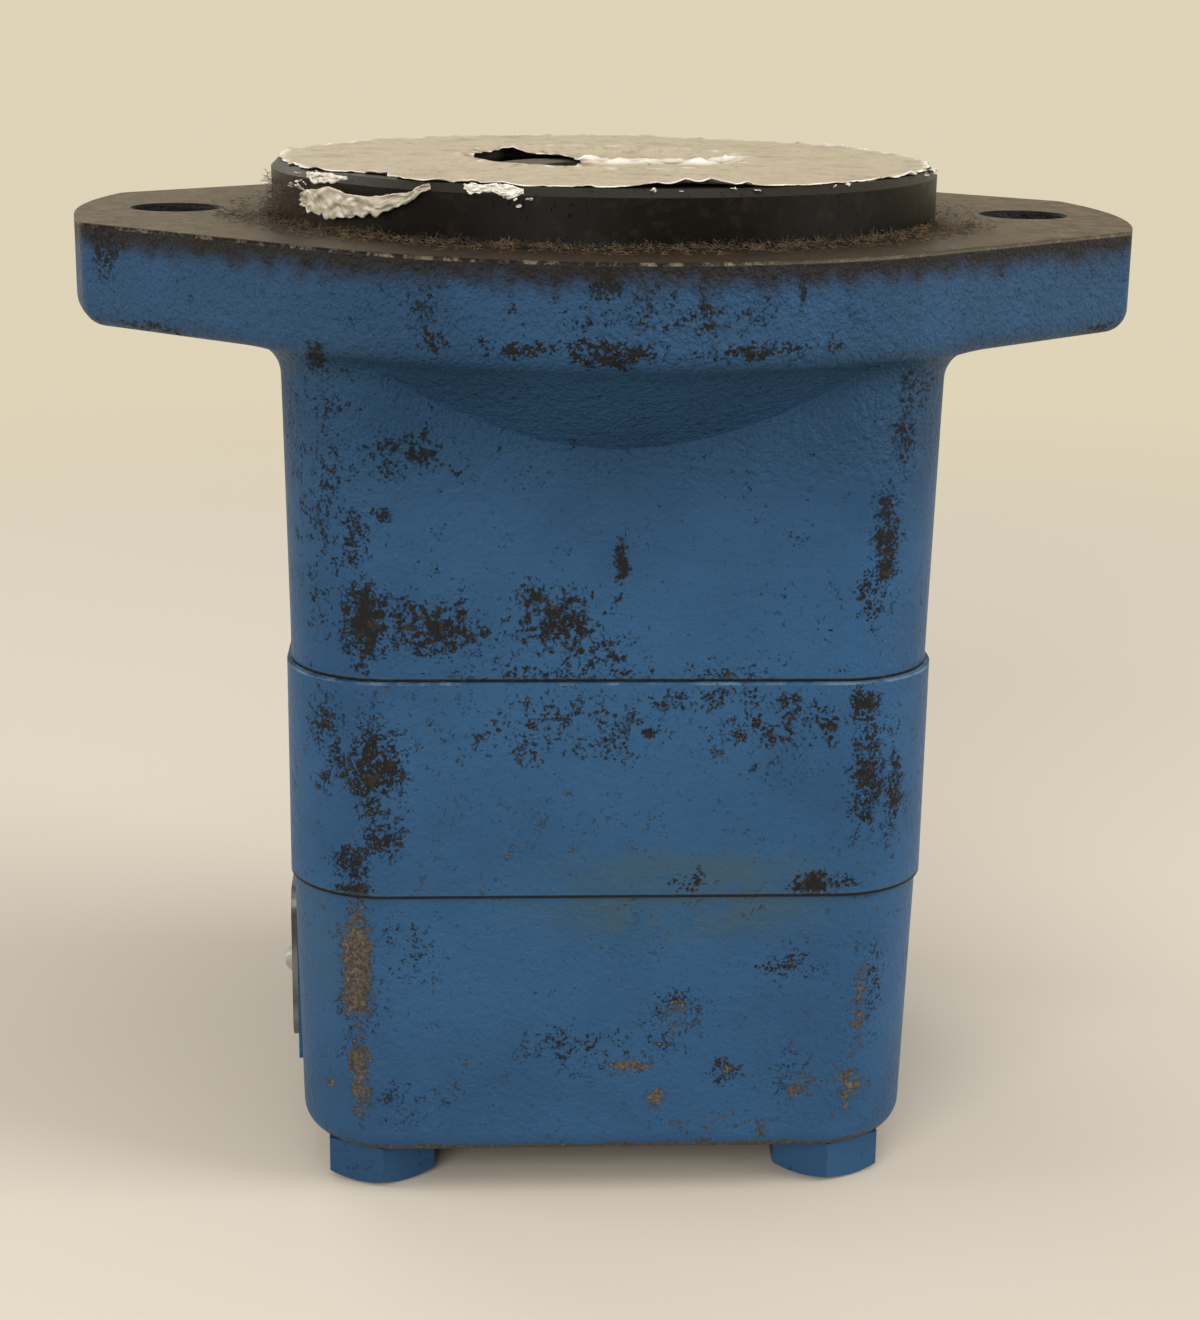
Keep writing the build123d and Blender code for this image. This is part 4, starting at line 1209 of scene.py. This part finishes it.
def makeFloor():
    work = bmesh.new()
    bmesh.ops.create_grid(work, x_segments=1, y_segments=1, size=stage["span"] / 2)
    bmesh.ops.translate(work, vec=Vector((0, 0, cadLow.z)), verts=work.verts)
    material, tree, shader, place = newMaterial("floorFinish", roughness=stage["floorRoughness"])
    shader.inputs["Base Color"].default_value = (*stage["floor"], 1.0)
    xyz = splitPlace(tree, place)
    away = times(tree, fromAxis(tree, xyz["X"], xyz["Y"]), mm)
    room = tree.nodes.new("ShaderNodeEmission")
    room.inputs["Color"].default_value = (*stage["roomSeen"], 1.0)
    fade = times(tree, rise(tree, away, stage["fadeFrom"], stage["fadeTo"]), seenRays(tree))
    mixShaders(tree, fade, shader, room, tree.nodes["Material Output"].inputs["Surface"])
    meshObject("floor", work, material)


def areaLight(name, place, aim, size, power):
    data = bpy.data.lights.new(name, "AREA")
    data.size = size
    data.energy = power
    lamp = newObject(name, data)
    lamp.location = place
    lamp.rotation_euler = (Vector(aim) - Vector(place)).to_track_quat("-Z", "Y").to_euler()


def makeStage():
    makeFloor()
    world = bpy.data.worlds.new("softRoom")
    bpy.context.scene.world = world
    world.use_nodes = True
    tree = world.node_tree
    light = tree.nodes["Background"]
    light.inputs["Color"].default_value = (*stage["roomLight"], 1.0)
    light.inputs["Strength"].default_value = stage["roomStrength"]
    # the camera and reflections see a pale room, which doesn't light the pump
    seen = tree.nodes.new("ShaderNodeBackground")
    seen.inputs["Color"].default_value = (*stage["roomSeen"], 1.0)
    mixShaders(tree, seenRays(tree), light, seen, tree.nodes["World Output"].inputs["Surface"])
    for name, (place, size, power) in stage["lamps"].items():
        areaLight(name, place, stage["aim"], size, power)


camera = {
    "place": (-18.2, -315.7, 30.7),
    "yaw": 3.37,
    "pitch": 15.76,
    "roll": 0.85,
    "lens": 67.96,
    "sensor": 36,
    "nearest": 0.01,
}


def makeCamera():
    data = bpy.data.cameras.new("viewCamera")
    data.sensor_width = camera["sensor"]
    data.lens = camera["lens"]
    data.clip_start = camera["nearest"]
    eye = newObject("viewCamera", data)
    yaw, pitch = math.radians(camera["yaw"]), math.radians(camera["pitch"])
    look = Vector((math.sin(yaw) * math.cos(pitch), math.cos(yaw) * math.cos(pitch), -math.sin(pitch)))
    level = look.to_track_quat("-Z", "Y").to_matrix().to_4x4()
    roll = Matrix.Rotation(math.radians(camera["roll"]), 4, "Z")
    eye.matrix_world = Matrix.Translation(Vector(camera["place"]) * mm) @ level @ roll
    bpy.context.scene.camera = eye


makeCamera()
makeStage()
print("stage ready")
dressCad()
foilMetal = foilMaterial()
sheet = makeFoil(foilMetal)
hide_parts("foil_seal")
for piece in (sheet, makeFlap(foilMetal), makeShreds(foilMetal)):
    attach(piece, "housing")
print("foil made")
threads = makePortThreads(plainMetal("threadIron"))
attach(threads, "housing")
print("port threads made")
fibres = makeLint(fibreMaterial())
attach(fibres, "housing")
print("lint made")

bpy.context.scene.view_settings.view_transform = "Standard"
